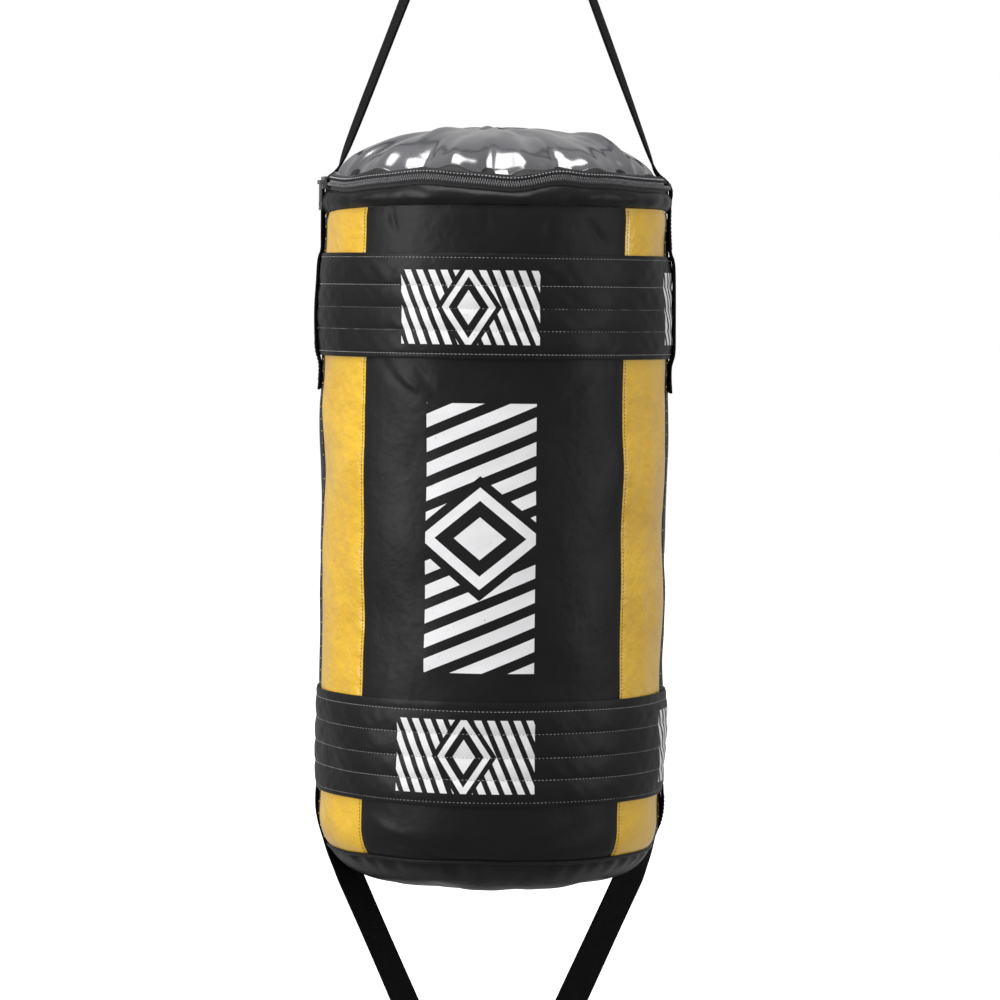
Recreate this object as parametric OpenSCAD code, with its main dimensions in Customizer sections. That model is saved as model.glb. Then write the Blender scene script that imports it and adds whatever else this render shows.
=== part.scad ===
// Two-ended heavy punching bag: stuffed cylinder, zipped lid, webbing straps to a ceiling and a floor hook.
// Origin: centre of the swivel eye's bore. +Z is up, -Y is the bag's front.

/* [Bag] */
// Outside diameter of the stuffed bag
bag_d = 300; // [290:5:310]
// Height from the base up to the zip
bag_h = 600; // [560:10:640]
// Radius of the rounded edge round the base
base_round = 56; // [40:2:64]
// Height of the lid's crown above the zip
lid_rise = 50; // [44:1:54]
// Depth of the collar between the zip and the panels
collar_h = 20; // [16:1:26]
// Thickness of the coated cover
cover_t = 2; // [1.6:0.1:2.4]
// Half angle of the black front and back panels
front_half_a = 47; // [42:1:50]
// Half angle of the black side panels under the straps
side_half_a = 10; // [8:1:14]

/* [Bands] */
// Height of each quilted band
band_h = 88; // [80:2:96]
// Thickness of a band
band_t = 2.5; // [2:0.1:3]
// Distance from the zip to the top of the upper band
upper_band_drop = 60; // [54:1:66]
// Distance from the zip to the top of the lower band
lower_band_drop = 435; // [400:5:440]

/* [Webbing] */
// Width of the webbing
web_w = 38; // [34:1:42]
// Thickness of the webbing
web_t = 2.2; // [1.8:0.1:2.4]
// Height of the hanging ring's bar above the zip
strap_rise = 360; // [340:10:400]
// Depth of the anchor ring's bar below the base
tail_drop = 264; // [240:4:300]
// Turn of the anchor ring about the upright
anchor_turn = 42; // [0:2:60]

/* [Steel] */
// Radius of the bore in the swivel eye
eye_bore_r = 7; // [6:0.5:8]
// Radius of the ring wire
ring_r = 4; // [3.5:0.5:4]
// Radius of the hook wire
hook_r = 4.5; // [4:0.5:4.5]
// Height of a ring between its bar and its crown
ring_h = 50; // [48:1:56]

/* [Hidden] */
$fn = 48;

gap = 0.4;                                  // room between pieces that move past each other
bag_r = bag_d / 2;

// Swivel, measured down from the bore
eye_r = 15;
eye_t = 10;
shank_r = 6;
head_r = 9.5;
barrel_r = 13;
barrel_top = -20;
barrel_roof = -26;
head_top = -28.4;
head_bottom = -33;
plug_top = -42;
barrel_bottom = -52;
plug_r = 8;

// Oval hook, its wire's centre line
hook_half_w = 20;
hook_top = -56;
hook_straight = 36;
hook_upper_c = hook_top - hook_half_w;
hook_lower_c = hook_upper_c - hook_straight;
hook_bowl = hook_lower_c - hook_half_w;

// Gate
pivot_drop = 3.6;                           // gate pin below the upper bend's centre
gate_r = 4;
gate_pin_r = 1.5;
gate_end_gap = 0.7;
tab_t = 4;
tab_len = 6;
ear_t = 2;

// Rings
crown_r = 12;                               // centre line of the ring's crown
bar_half = 27;                              // centre line of the ring's corners
ring_top = hook_bowl + hook_r + ring_r + gap;
bar_z = ring_top - ring_h;

// Bag
zip_z = bar_z - strap_rise;
base_z = -bag_h;                            // measured from the zip
round_z = base_z + base_round;
panel_end_a = 30;                           // how far the panels follow the rounded edge
lid_r = bag_r - 1;
lid_power = 0.77;
lid_t = 1.8;
fold_y = -45;                               // line where the lid folds
zip_half_a = 81;
flap_zip_half_a = 71.5;
stop_a = 0.8;                               // arc taken by each end stop

// Zip
tape_t = 1;
teeth_t = 3.5;
row_h = 2.5;
row_gap = 0.3;
tape_h = 15;
rim_z = 5.6;                                // lid edge above the zip, collar edge below it
slider_a = -77;
slider_len = 18;
slider_t = 1.6;
slider_half_h = 5.2;
pull_len = 24;
pull_w = 7;
pull_t = 1.6;
pull_r = bag_r + 4.6;                       // inner face of the pull

// Layers under the cover, as depth below the cover's outer face
tape_depth = cover_t + tape_t;
liner_depth = tape_depth + 0.3;
liner_t = 1;
foam_depth = liner_depth + liner_t + 0.3;
foam_t = 15;
pad_t = 25;

// Webbing round a bar
wrap_r = ring_r + 0.3;
strap_out = 0.4;                            // air between webbing and cover
edge_out = 1.2;                             // and round the base edge
anchor_bar = [0, 0, zip_z + base_z - tail_drop];
anchor_top = anchor_bar[2] - ring_h + ring_r + hook_r + gap;

black = "#262626";
gold = "#D8A030";
steel = "#B9BCC0";
webbing = "#151515";

// ---- helpers ----

function unit(v) = v / norm(v);
function left_of(v) = [-v[1], v[0]];
function edge_normal(p, i) = left_of(unit(p[i + 1] - p[i]));
function point_normal(p, i) =
    i == 0 ? edge_normal(p, 0)
    : i == len(p) - 1 ? edge_normal(p, i - 1)
    : let (a = edge_normal(p, i - 1), b = edge_normal(p, i)) (a + b) / (1 + a * b);

// Angle at which webbing that runs to q leaves a bar of radius r at the origin
function leave_angle(q, r) = atan2(q[1], q[0]) + acos(r / norm(q));

// Outline of the rounded base edge at a depth under the outer face, from angle a0 to a1
function edge_points(depth, a0, a1) =
    [for (i = [0:4])
        let (a = a0 + (a1 - a0) * i / 4)
        [bag_r - base_round + (base_round - depth) * cos(a), round_z - (base_round - depth) * sin(a)]];

// Outline of the lid's crown at a depth under its outer face, from the rim to the middle
function lid_height(r, depth) = (lid_rise - depth) * pow(1 - pow(r / (lid_r - depth), 2), lid_power);
function lid_points(depth, r0) =
    [for (i = [0:10]) let (r = r0 * sqrt(1 - i / 10)) [r, lid_height(r, depth)]];

function reversed(p) = [for (i = [len(p) - 1:-1:0]) p[i]];

// Ring sector; angles are measured from the front towards +X
module sector(a0, a1) {
    rotate([0, 0, a0 - 90])
        rotate_extrude(angle = a1 - a0, $fn = 96) children();
}

module ring_strip(a0, a1, r0, r1, z0, z1) {
    sector(a0, a1) translate([r0, z0]) square([r1 - r0, z1 - z0]);
}

module full_ring(r0, r1, z0, z1) {
    rotate_extrude($fn = 96) translate([r0, z0]) square([r1 - r0, z1 - z0]);
}

// Flat strip of webbing whose inner face follows p in the X-Z plane
module strip(p, t, w) {
    rotate([90, 0, 0])
        linear_extrude(w, center = true)
            polygon(concat(p, reversed([for (i = [0:len(p) - 1]) p[i] + t * point_normal(p, i)])));
}

// Webbing wrapped over a bar that runs along Y
module wrap(a0, a1) {
    rotate([90, 0, 0]) rotate([0, 0, a0])
        rotate_extrude(angle = a1 - a0)
            translate([wrap_r, -web_w / 2]) square([web_t, web_w]);
}

module rod(p, q, r) {
    d = q - p;
    translate(p)
        rotate([0, acos(d[2] / norm(d)), atan2(d[1], d[0])])
            cylinder(h = norm(d), r = r);
}

// Bend in the X-Z plane: wire radius r on a centre line of radius rc
module bend(rc, r, a0, a1) {
    rotate([90, 0, 0]) rotate([0, 0, a0])
        rotate_extrude(angle = a1 - a0) translate([rc, 0]) circle(r);
}

// ---- steel ----

// Delta ring in the Y-Z plane, bar along Y through the origin, crown above it
module delta_ring() {
    crown_c = ring_h - crown_r;
    lean = atan2(crown_c, bar_half);
    out = acos(crown_r / norm([bar_half, crown_c]));
    arm_a = out - lean;                     // where the arm leaves the crown
    touch = [0, crown_r * cos(arm_a), crown_c + crown_r * sin(arm_a)];
    rotate([0, 0, 90]) translate([0, 0, crown_c]) bend(crown_r, ring_r, arm_a, 180 - arm_a);
    rod([0, -bar_half, 0], [0, bar_half, 0], ring_r);
    for (s = [-1, 1]) {
        translate([0, s * bar_half, 0]) sphere(ring_r);
        rod([0, s * bar_half, 0], [0, s * touch[1], touch[2]], ring_r);
        translate([0, s * touch[1], touch[2]]) sphere(ring_r);
    }
}

// Oval wire hook in the X-Z plane, its top centre line at the origin, gate side at +X
module oval_hook() {
    upper = -hook_half_w;
    lower = upper - hook_straight;
    translate([0, 0, upper]) bend(hook_half_w, hook_r, 0, 180);
    translate([0, 0, lower]) bend(hook_half_w, hook_r, 180, 360);
    translate([-hook_half_w, 0, lower]) cylinder(h = hook_straight, r = hook_r);
    difference() {
        union() {
            translate([hook_half_w - hook_r + 1, -tab_t / 2, upper - pivot_drop])
                cube([2 * hook_r - 2, tab_t, pivot_drop + 1]);
            translate([hook_half_w, 0, upper - pivot_drop]) rotate([90, 0, 0])
                cylinder(h = tab_t, r = hook_r - 1, center = true);
        }
        translate([hook_half_w, 0, upper - pivot_drop]) rotate([90, 0, 0])
            cylinder(h = tab_t + 2, r = gate_pin_r, center = true);
    }
}

// Straight gate with two ears round the hook's tab
module oval_gate() {
    pivot = -hook_half_w - pivot_drop;
    nose = -hook_half_w - hook_straight + gate_end_gap;
    ear_y = tab_t / 2 + 0.2;
    translate([hook_half_w, 0, 0]) difference() {
        union() {
            translate([0, 0, nose]) cylinder(h = pivot - tab_len - nose, r = gate_r);
            for (s = [-1, 1]) {
                translate([-gate_r + 1, s > 0 ? ear_y : -ear_y - ear_t, pivot - tab_len])
                    cube([2 * gate_r - 2, ear_t, tab_len]);
                translate([0, s * (ear_y + ear_t / 2), pivot]) rotate([90, 0, 0])
                    cylinder(h = ear_t, r = gate_r - 1, center = true);
            }
            translate([-gate_r + 1, -ear_y - ear_t, pivot - tab_len - 1])
                cube([2 * gate_r - 2, 2 * (ear_y + ear_t), 1.4]);
        }
        translate([0, 0, pivot]) rotate([90, 0, 0])
            cylinder(h = 20, r = gate_pin_r + 0.06, center = true);
    }
}

module oval_pin() {
    pivot = -hook_half_w - pivot_drop;
    translate([hook_half_w, 0, pivot]) rotate([90, 0, 0])
        cylinder(h = tab_t + 2 * ear_t + 1, r = gate_pin_r, center = true);
}

module swivel_eye() {
    color(steel) difference() {
        union() {
            rotate([90, 0, 0]) cylinder(h = eye_t, r = eye_r, center = true);
            translate([0, 0, head_bottom]) cylinder(h = -head_bottom - eye_r + 3, r = shank_r);
            translate([0, 0, barrel_top + gap]) cylinder(h = 3, r = head_r);
            translate([0, 0, head_bottom]) cylinder(h = head_top - head_bottom, r = head_r);
        }
        rotate([90, 0, 0]) cylinder(h = eye_t + 20, r = eye_bore_r, center = true);
    }
}

module swivel_barrel() {
    color(steel) rotate_extrude() polygon([
        [shank_r + 0.06, barrel_top], [barrel_r - 1.5, barrel_top], [barrel_r, barrel_top - 1.5],
        [barrel_r, barrel_bottom + 2], [barrel_r - 2, barrel_bottom], [plug_r, barrel_bottom],
        [plug_r, plug_top], [head_r + 0.5, plug_top], [head_r + 0.5, barrel_roof],
        [shank_r + 0.06, barrel_roof]]);
}

module thrust_washer() {
    color("#C9A54A") translate([0, 0, head_top + 0.2])
        difference() {
            cylinder(h = barrel_roof - head_top - 0.4, r = head_r);
            translate([0, 0, -1]) cylinder(h = 8, r = shank_r + 0.3);
        }
}

module snap_hook() {
    color(steel) {
        translate([0, 0, hook_top]) oval_hook();
        translate([0, 0, hook_top]) cylinder(h = plug_top - hook_top, r = plug_r);
    }
}

module hook_gate() {
    color(steel) translate([0, 0, hook_top]) oval_gate();
}

module gate_pin() {
    color(steel) translate([0, 0, hook_top]) oval_pin();
}

module hanging_ring() {
    color(steel) translate([0, 0, bar_z]) delta_ring();
}

// ---- hanging webbing ----

// Where the webbing first touches the lid, and its inner face down the side, from the zip
shoulder = [134, 15.6];
side_path = [
    shoulder,
    [142.5, 9.3],
    [148.3, 3.4],
    [bag_r + strap_out, -4],
    [bag_r + strap_out, 3 - upper_band_drop],
    [bag_r + band_t + strap_out, -1 - upper_band_drop],
    [bag_r + band_t + strap_out, -upper_band_drop - band_h - 6],
    [bag_r + band_t, -upper_band_drop - band_h - 30]
];
hang_a = leave_angle(shoulder - [0, strap_rise], wrap_r);

module strap_crown() {
    color(webbing) translate([0, 0, bar_z]) wrap(hang_a, 180 - hang_a);
}

module hanging_strap() {
    start = [wrap_r * cos(hang_a), strap_rise + wrap_r * sin(hang_a)];
    translate([0, 0, zip_z]) strip(concat([start], side_path), web_t, web_w);
}

module hanging_strap_left() { color(webbing) mirror([1, 0, 0]) hanging_strap(); }
module hanging_strap_right() { color(webbing) hanging_strap(); }

// ---- cover ----

module panel(a0, a1) {
    translate([0, 0, zip_z]) sector(a0, a1)
        polygon(concat(
            [[bag_r, -collar_h]], edge_points(0, 0, panel_end_a),
            reversed(edge_points(cover_t, 0, panel_end_a)), [[bag_r - cover_t, -collar_h]]));
}

gold_a0 = front_half_a;
gold_a1 = 90 - side_half_a;

module front_panel() { color(black) panel(-front_half_a, front_half_a); }
module back_panel() { color(black) panel(180 - front_half_a, 180 + front_half_a); }
module side_panel_right() { color(black) panel(gold_a1, 180 - gold_a1); }
module side_panel_left() { color(black) panel(180 + gold_a1, 360 - gold_a1); }
module gold_strip_front_right() { color(gold) panel(gold_a0, gold_a1); }
module gold_strip_front_left() { color(gold) panel(-gold_a1, -gold_a0); }
module gold_strip_back_right() { color(gold) panel(180 - gold_a1, 180 - gold_a0); }
module gold_strip_back_left() { color(gold) panel(180 + gold_a0, 180 + gold_a1); }

module collar() {
    color(black) translate([0, 0, zip_z])
        full_ring(bag_r - cover_t, bag_r, -collar_h, -rim_z);
}

module upper_band() {
    color(black) translate([0, 0, zip_z])
        full_ring(bag_r, bag_r + band_t, -upper_band_drop - band_h, -upper_band_drop);
}

module lower_band() {
    color(black) translate([0, 0, zip_z])
        full_ring(bag_r, bag_r + band_t, -lower_band_drop - band_h, -lower_band_drop);
}

module base_cap() {
    color(black) translate([0, 0, zip_z]) rotate_extrude($fn = 96)
        polygon(concat(
            edge_points(0, panel_end_a, 90), [[0, base_z], [0, base_z + cover_t]],
            reversed(edge_points(cover_t, panel_end_a, 90))));
}

// Cord sewn into the seam between the panels and the base, just inside the cover
module base_seam_cord() {
    r = 1.2;
    depth = cover_t + r + 0.05;
    p = edge_points(depth, panel_end_a, 90)[0];
    color(black) translate([0, 0, zip_z])
        rotate_extrude($fn = 96) translate(p) circle(r, $fn = 24);
}

// ---- lid ----

module lid_shell() {
    rotate_extrude($fn = 96) polygon(concat(
        [[bag_r, -rim_z], [bag_r, -1]], lid_points(0, lid_r - 0.4), [[0, lid_rise - lid_t]],
        reversed(lid_points(lid_t, lid_r - lid_t - 0.4)), [[bag_r - cover_t, -1], [bag_r - cover_t, -rim_z]]));
}

module lid_back() {
    reach = 2 * bag_d;
    color("#33343A") translate([0, 0, zip_z]) difference() {
        lid_shell();
        translate([-reach / 2, -reach, -reach / 2]) cube([reach, reach + fold_y + 0.25, reach]);
        translate([-reach / 2, -reach, -reach])
            cube([reach, reach - bag_r * cos(zip_half_a + stop_a + 0.6), reach + rim_z]);
    }
}

module lid_flap() {
    reach = 2 * bag_d;
    color("#33343A") translate([0, 0, zip_z]) intersection() {
        lid_shell();
        translate([-reach / 2, -reach, rim_z]) cube([reach, reach + fold_y - 0.25, reach]);
    }
}

module top_pad() {
    color("#6B675E") translate([0, 0, zip_z]) rotate_extrude($fn = 96)
        polygon(concat(
            [[0, -15], [bag_r - liner_depth - 1, -15]],
            lid_points(lid_t + 1.5, lid_r - lid_t - 4)));
}

// ---- zip ----

module zip_tape_lower() {
    color("#111111") translate([0, 0, zip_z]) ring_strip(-zip_half_a, zip_half_a,
        bag_r - tape_depth, bag_r - cover_t, -tape_h, -row_gap);
}

module zip_teeth_lower() {
    color("#2A2A2A") translate([0, 0, zip_z]) ring_strip(-zip_half_a, zip_half_a,
        bag_r - cover_t, bag_r - cover_t + teeth_t, -row_gap - row_h, -row_gap);
}

module zip_tape_upper() {
    color("#111111") translate([0, 0, zip_z]) ring_strip(-flap_zip_half_a, flap_zip_half_a,
        bag_r - tape_depth - 2, bag_r - cover_t, row_gap, rim_z - 0.05);
}

module zip_teeth_upper() {
    color("#2A2A2A") translate([0, 0, zip_z]) ring_strip(-flap_zip_half_a, flap_zip_half_a,
        bag_r - cover_t, bag_r - cover_t + teeth_t, row_gap, row_gap + row_h);
}

module zip_stops() {
    mid_a = zip_half_a + stop_a / 2 + 0.02;
    color(steel) translate([0, 0, zip_z]) for (s = [-1, 1])
        ring_strip(s * mid_a - stop_a / 2, s * mid_a + stop_a / 2,
            bag_r - cover_t, bag_r - cover_t + teeth_t, -row_gap - row_h, row_gap + row_h);
}

// Slider round the front of both rows of teeth, with a bridge that holds the pull
module zip_slider() {
    plate_r = bag_r - cover_t + teeth_t + gap;
    half_a = slider_len / 2 / plate_r * 180 / PI;
    flange = 1.5;
    a0 = slider_a - half_a;
    a1 = slider_a + half_a;
    bridge_a = pull_w / 2 / plate_r * 180 / PI + 0.25;
    post_a = 0.55;
    color("#3A3A3C") translate([0, 0, zip_z]) {
        ring_strip(a0, a1, plate_r, plate_r + slider_t, -slider_half_h, slider_half_h);
        for (s = [-1, 1])
            ring_strip(a0, a1, plate_r - 2, plate_r + slider_t,
                s * slider_half_h - (s > 0 ? flange : 0), s * slider_half_h + (s > 0 ? 0 : flange));
        for (s = [-1, 1])
            ring_strip(slider_a + s * (bridge_a + post_a / 2) - post_a / 2,
                slider_a + s * (bridge_a + post_a / 2) + post_a / 2,
                plate_r + slider_t - 0.2, pull_r + pull_t + 1, -1.2, 2.2);
        rotate([0, 0, slider_a])
            translate([0, -pull_r - pull_t / 2, 0.5])
                rotate([0, 90, 0]) cylinder(h = pull_w + 3, r = 0.7, center = true, $fn = 24);
    }
}

// Pull that hangs on the slider's cross pin
module zip_pull() {
    color(steel) translate([0, 0, zip_z]) rotate([0, 0, slider_a])
        translate([0, -pull_r - pull_t / 2, 0.5]) difference() {
            union() {
                rotate([0, 90, 0]) cylinder(h = pull_w - 0.6, r = 1.5, center = true, $fn = 32);
                translate([-pull_w / 2 + 0.3, -pull_t / 2, -pull_len]) cube([pull_w - 0.6, pull_t, pull_len]);
            }
            rotate([0, 90, 0]) cylinder(h = pull_w + 4, r = 0.78, center = true, $fn = 32);
            translate([0, 0, -pull_len + 5]) rotate([90, 0, 0]) cylinder(h = 8, r = 1.8, center = true, $fn = 32);
        }
}

// ---- filling ----

// Shell under the cover, open at z_top and closed over the base
module inner_shell(depth, t, z_top) {
    rotate_extrude($fn = 96) polygon(concat(
        [[bag_r - depth, z_top]], edge_points(depth, 0, 90), [[0, base_z + depth], [0, base_z + depth + t]],
        reversed(edge_points(depth + t, 0, 90)), [[bag_r - depth - t, z_top]]));
}

seam_room = 2.6;                            // room for the seam cord under the cover
liner_top = -17;

module liner() {
    color("#8E8A80") translate([0, 0, zip_z]) inner_shell(liner_depth + seam_room - 0.3, liner_t, liner_top);
}

module foam_sleeve() {
    depth = foam_depth + seam_room - 0.3;
    color("#A9A79F") translate([0, 0, zip_z])
        full_ring(bag_r - depth - foam_t, bag_r - depth, round_z, liner_top);
}

module base_pad() {
    depth = foam_depth + seam_room + 1.2;
    pad_top = base_z + depth + pad_t;
    color("#A9A79F") translate([0, 0, zip_z]) rotate_extrude($fn = 96)
        polygon(concat(
            [for (p = edge_points(depth, asin((round_z - pad_top) / (base_round - depth)), 90)) p],
            [[0, base_z + depth], [0, pad_top]]));
}

module textile_fill() {
    depth = foam_depth + seam_room + foam_t;
    fill_bottom = base_z + foam_depth + seam_room + pad_t + 1.8;
    color("#77736A") translate([0, 0, zip_z + fill_bottom])
        cylinder(h = liner_top - fill_bottom, r = bag_r - depth, $fn = 96);
}

// ---- anchor end ----

// The anchor webbing runs down the side and round the base edge, then straight to the bar.
// Beyond the base edge it is turned about its own length to lie flat on the turned bar.
anchor_leave_a = 26;
anchor_wrap_a = -24;
crown_gap_a = 20;                           // arc left free for the straps' ends
turn_start = 42;                            // run beyond the base edge before the webbing is turned
skew_room = 7;                              // kept from the crown, which the webbing meets askew

// Side is +1 on the right and -1 on the left
module anchor_strap(side) {
    r = base_round + edge_out;
    edge = [for (a = [0, 9, 18, anchor_leave_a]) [bag_r - base_round + r * cos(a), round_z - r * sin(a)]];
    from = edge[3];
    bar = [wrap_r * cos(anchor_wrap_a), base_z - tail_drop + wrap_r * sin(anchor_wrap_a)];
    way = unit(bar - from);
    side_face = concat([[bag_r + strap_out, -lower_band_drop - band_h]], edge, [from + way * (turn_start + 2)]);
    mid = [from[0] + way[0] * turn_start - way[1] * web_t / 2, from[1] + way[1] * turn_start + way[0] * web_t / 2];
    translate([0, 0, zip_z]) {
        mirror([side < 0 ? 1 : 0, 0, 0]) strip(side_face, web_t, web_w);
        translate([side * mid[0], 0, mid[1]])
            rotate([0, side * atan2(way[0], way[1]), 0])
                rotate([0, 0, anchor_turn])
                    translate([-web_t / 2, -web_w / 2, 0])
                        cube([web_t, web_w, norm(bar - from) - turn_start - skew_room]);
    }
}

module anchor_strap_left() { color(webbing) anchor_strap(-1); }
module anchor_strap_right() { color(webbing) anchor_strap(1); }

module anchor_crown() {
    color(webbing) translate(anchor_bar) rotate([0, 0, -anchor_turn])
        wrap(180 - anchor_wrap_a + crown_gap_a, 360 + anchor_wrap_a - crown_gap_a);
}

module anchor_ring() {
    color(steel) translate(anchor_bar) rotate([0, 0, -anchor_turn]) mirror([0, 0, 1]) delta_ring();
}

module at_anchor() {
    translate([0, 0, anchor_top]) rotate([0, 0, -anchor_turn]) children();
}

module anchor_hook() { color(steel) at_anchor() oval_hook(); }
module anchor_gate() { color(steel) at_anchor() oval_gate(); }
module anchor_gate_pin() { color(steel) at_anchor() oval_pin(); }

swivel_eye();
swivel_barrel();
thrust_washer();
snap_hook();
hook_gate();
gate_pin();
hanging_ring();
strap_crown();
hanging_strap_left();
hanging_strap_right();
front_panel();
back_panel();
side_panel_left();
side_panel_right();
gold_strip_front_left();
gold_strip_front_right();
gold_strip_back_left();
gold_strip_back_right();
collar();
upper_band();
lower_band();
base_cap();
base_seam_cord();
lid_back();
lid_flap();
zip_tape_lower();
zip_teeth_lower();
zip_tape_upper();
zip_teeth_upper();
zip_stops();
zip_slider();
zip_pull();
liner();
foam_sleeve();
base_pad();
textile_fill();
top_pad();
anchor_strap_left();
anchor_strap_right();
anchor_crown();
anchor_ring();
anchor_hook();
anchor_gate();
anchor_gate_pin();
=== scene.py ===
import math

import bpy
import numpy as np
from mathutils import Matrix, Vector


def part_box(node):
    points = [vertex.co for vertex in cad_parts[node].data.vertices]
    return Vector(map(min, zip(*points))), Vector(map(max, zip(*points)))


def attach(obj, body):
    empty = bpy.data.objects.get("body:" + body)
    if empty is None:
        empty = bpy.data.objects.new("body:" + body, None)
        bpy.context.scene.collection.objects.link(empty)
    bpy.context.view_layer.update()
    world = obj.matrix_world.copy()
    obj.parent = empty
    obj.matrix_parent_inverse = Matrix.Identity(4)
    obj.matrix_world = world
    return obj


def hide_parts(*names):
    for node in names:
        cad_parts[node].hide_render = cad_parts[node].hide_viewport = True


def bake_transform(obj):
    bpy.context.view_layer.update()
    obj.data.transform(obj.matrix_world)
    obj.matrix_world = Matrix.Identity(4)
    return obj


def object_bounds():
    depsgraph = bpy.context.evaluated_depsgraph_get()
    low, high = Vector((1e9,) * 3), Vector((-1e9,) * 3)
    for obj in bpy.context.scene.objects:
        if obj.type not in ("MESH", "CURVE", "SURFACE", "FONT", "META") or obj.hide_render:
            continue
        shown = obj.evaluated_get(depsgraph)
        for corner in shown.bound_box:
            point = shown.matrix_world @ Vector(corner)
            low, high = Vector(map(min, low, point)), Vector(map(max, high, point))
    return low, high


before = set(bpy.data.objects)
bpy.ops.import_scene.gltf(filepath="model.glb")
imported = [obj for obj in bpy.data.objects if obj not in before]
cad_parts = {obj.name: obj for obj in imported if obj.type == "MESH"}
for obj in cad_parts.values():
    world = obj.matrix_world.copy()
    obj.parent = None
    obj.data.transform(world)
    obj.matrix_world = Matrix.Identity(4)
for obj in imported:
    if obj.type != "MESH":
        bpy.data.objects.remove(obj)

cad_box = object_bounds()

# ---------------------------------------------------------------------------
# View, floor and light.
# A long lens stands almost level with the top band. Floor and room are plain white, and big soft
# lights stand left, right and above, so that gloss shows as broad soft bands.

BAG_R = -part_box("front_panel")[0].y
ZIP_Z = (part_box("zip_teeth_lower")[1].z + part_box("zip_teeth_upper")[0].z) / 2
BASE_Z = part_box("base_cap")[0].z
EYE_LEVEL = ZIP_Z - 0.090
VIEW_ASIDE = 0.0058
VIEW_AWAY = 3.735
LENS = 154.8
VIEW_PITCH = math.radians(-2.8)
VIEW_ROLL = math.radians(0.67)
FLOOR_GAP = 0.06
ROOM_LIGHT = 0.46


def clear_selection():
    if bpy.context.object and bpy.context.object.mode != "OBJECT":
        bpy.ops.object.mode_set(mode="OBJECT")
    bpy.ops.object.select_all(action="DESELECT")


def pick(piece):
    """Makes a piece the only one selected, for the operators."""
    clear_selection()
    piece.select_set(True)
    bpy.context.view_layer.objects.active = piece


def place_camera():
    clear_selection()
    bpy.ops.object.camera_add(location=(VIEW_ASIDE, -VIEW_AWAY, EYE_LEVEL))
    camera = bpy.context.object
    camera.name = "view"
    turn = Matrix.Rotation(math.radians(90) + VIEW_PITCH, 4, "X") @ Matrix.Rotation(VIEW_ROLL, 4, "Z")
    camera.matrix_world = Matrix.Translation(camera.location) @ turn
    camera.data.lens = LENS
    camera.data.sensor_width = 36
    camera.data.clip_end = 60
    bpy.context.scene.camera = camera


def soft_light(name, at, size, power):
    bpy.ops.object.light_add(type="AREA", location=at)
    light = bpy.context.object
    light.name = name
    light.data.shape = "RECTANGLE"
    light.data.size, light.data.size_y = size
    light.data.energy = power
    aim = Vector((0, 0, ZIP_Z - 0.28)) - Vector(at)
    light.rotation_euler = aim.to_track_quat("-Z", "Y").to_euler()


def pale_surface(name, shade, glow):
    mat = bpy.data.materials.new(name)
    mat.use_nodes = True
    shader = mat.node_tree.nodes["Principled BSDF"]
    shader.inputs["Base Color"].default_value = (shade, shade, shade, 1)
    shader.inputs["Roughness"].default_value = 0.9
    shader.inputs["Emission Color"].default_value = (1, 1, 1, 1)
    shader.inputs["Emission Strength"].default_value = glow
    return mat


def studio():
    """A white floor, a white room that lights the bag only faintly, and three soft lights."""
    clear_selection()
    bpy.ops.mesh.primitive_circle_add(vertices=64, radius=12, fill_type="NGON",
                                      location=(0, 0, cad_box[0].z - FLOOR_GAP))
    floor = bpy.context.object
    floor.name = "studio_floor"
    floor.data.materials.append(pale_surface("studio_white", 0.85, 1.0))
    floor.visible_glossy = floor.visible_diffuse = False
    soft_light("left_softbox", (-3.0, -1.7, ZIP_Z + 0.5), (0.7, 2.4), 78)
    soft_light("right_softbox", (3.1, -1.2, ZIP_Z + 0.1), (0.5, 2.2), 22)
    soft_light("top_softbox", (-0.3, -0.65, ZIP_Z + 2.2), (2.2, 1.9), 90)
    world = bpy.data.worlds.new("pale_room")
    bpy.context.scene.world = world
    world.use_nodes = True
    background = world.node_tree.nodes["Background"]
    background.inputs[0].default_value = (1, 1, 1, 1)
    path = world.node_tree.nodes.new("ShaderNodeLightPath")
    strength = world.node_tree.nodes.new("ShaderNodeMapRange")
    strength.inputs["To Min"].default_value = ROOM_LIGHT
    world.node_tree.links.new(path.outputs["Is Camera Ray"], strength.inputs["Value"])
    world.node_tree.links.new(strength.outputs[0], background.inputs[1])
    bpy.context.scene.view_settings.view_transform = "Standard"


place_camera()
studio()


# ---------------------------------------------------------------------------
# Swivel, hooks and rings: bright zinc-plated steel wire and turnings, with a brass thrust washer.
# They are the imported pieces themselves. The wire is drawn, bent and plated, so it has faint draw
# lines, a soft cloudy plate and dull rubbed places.

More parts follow.
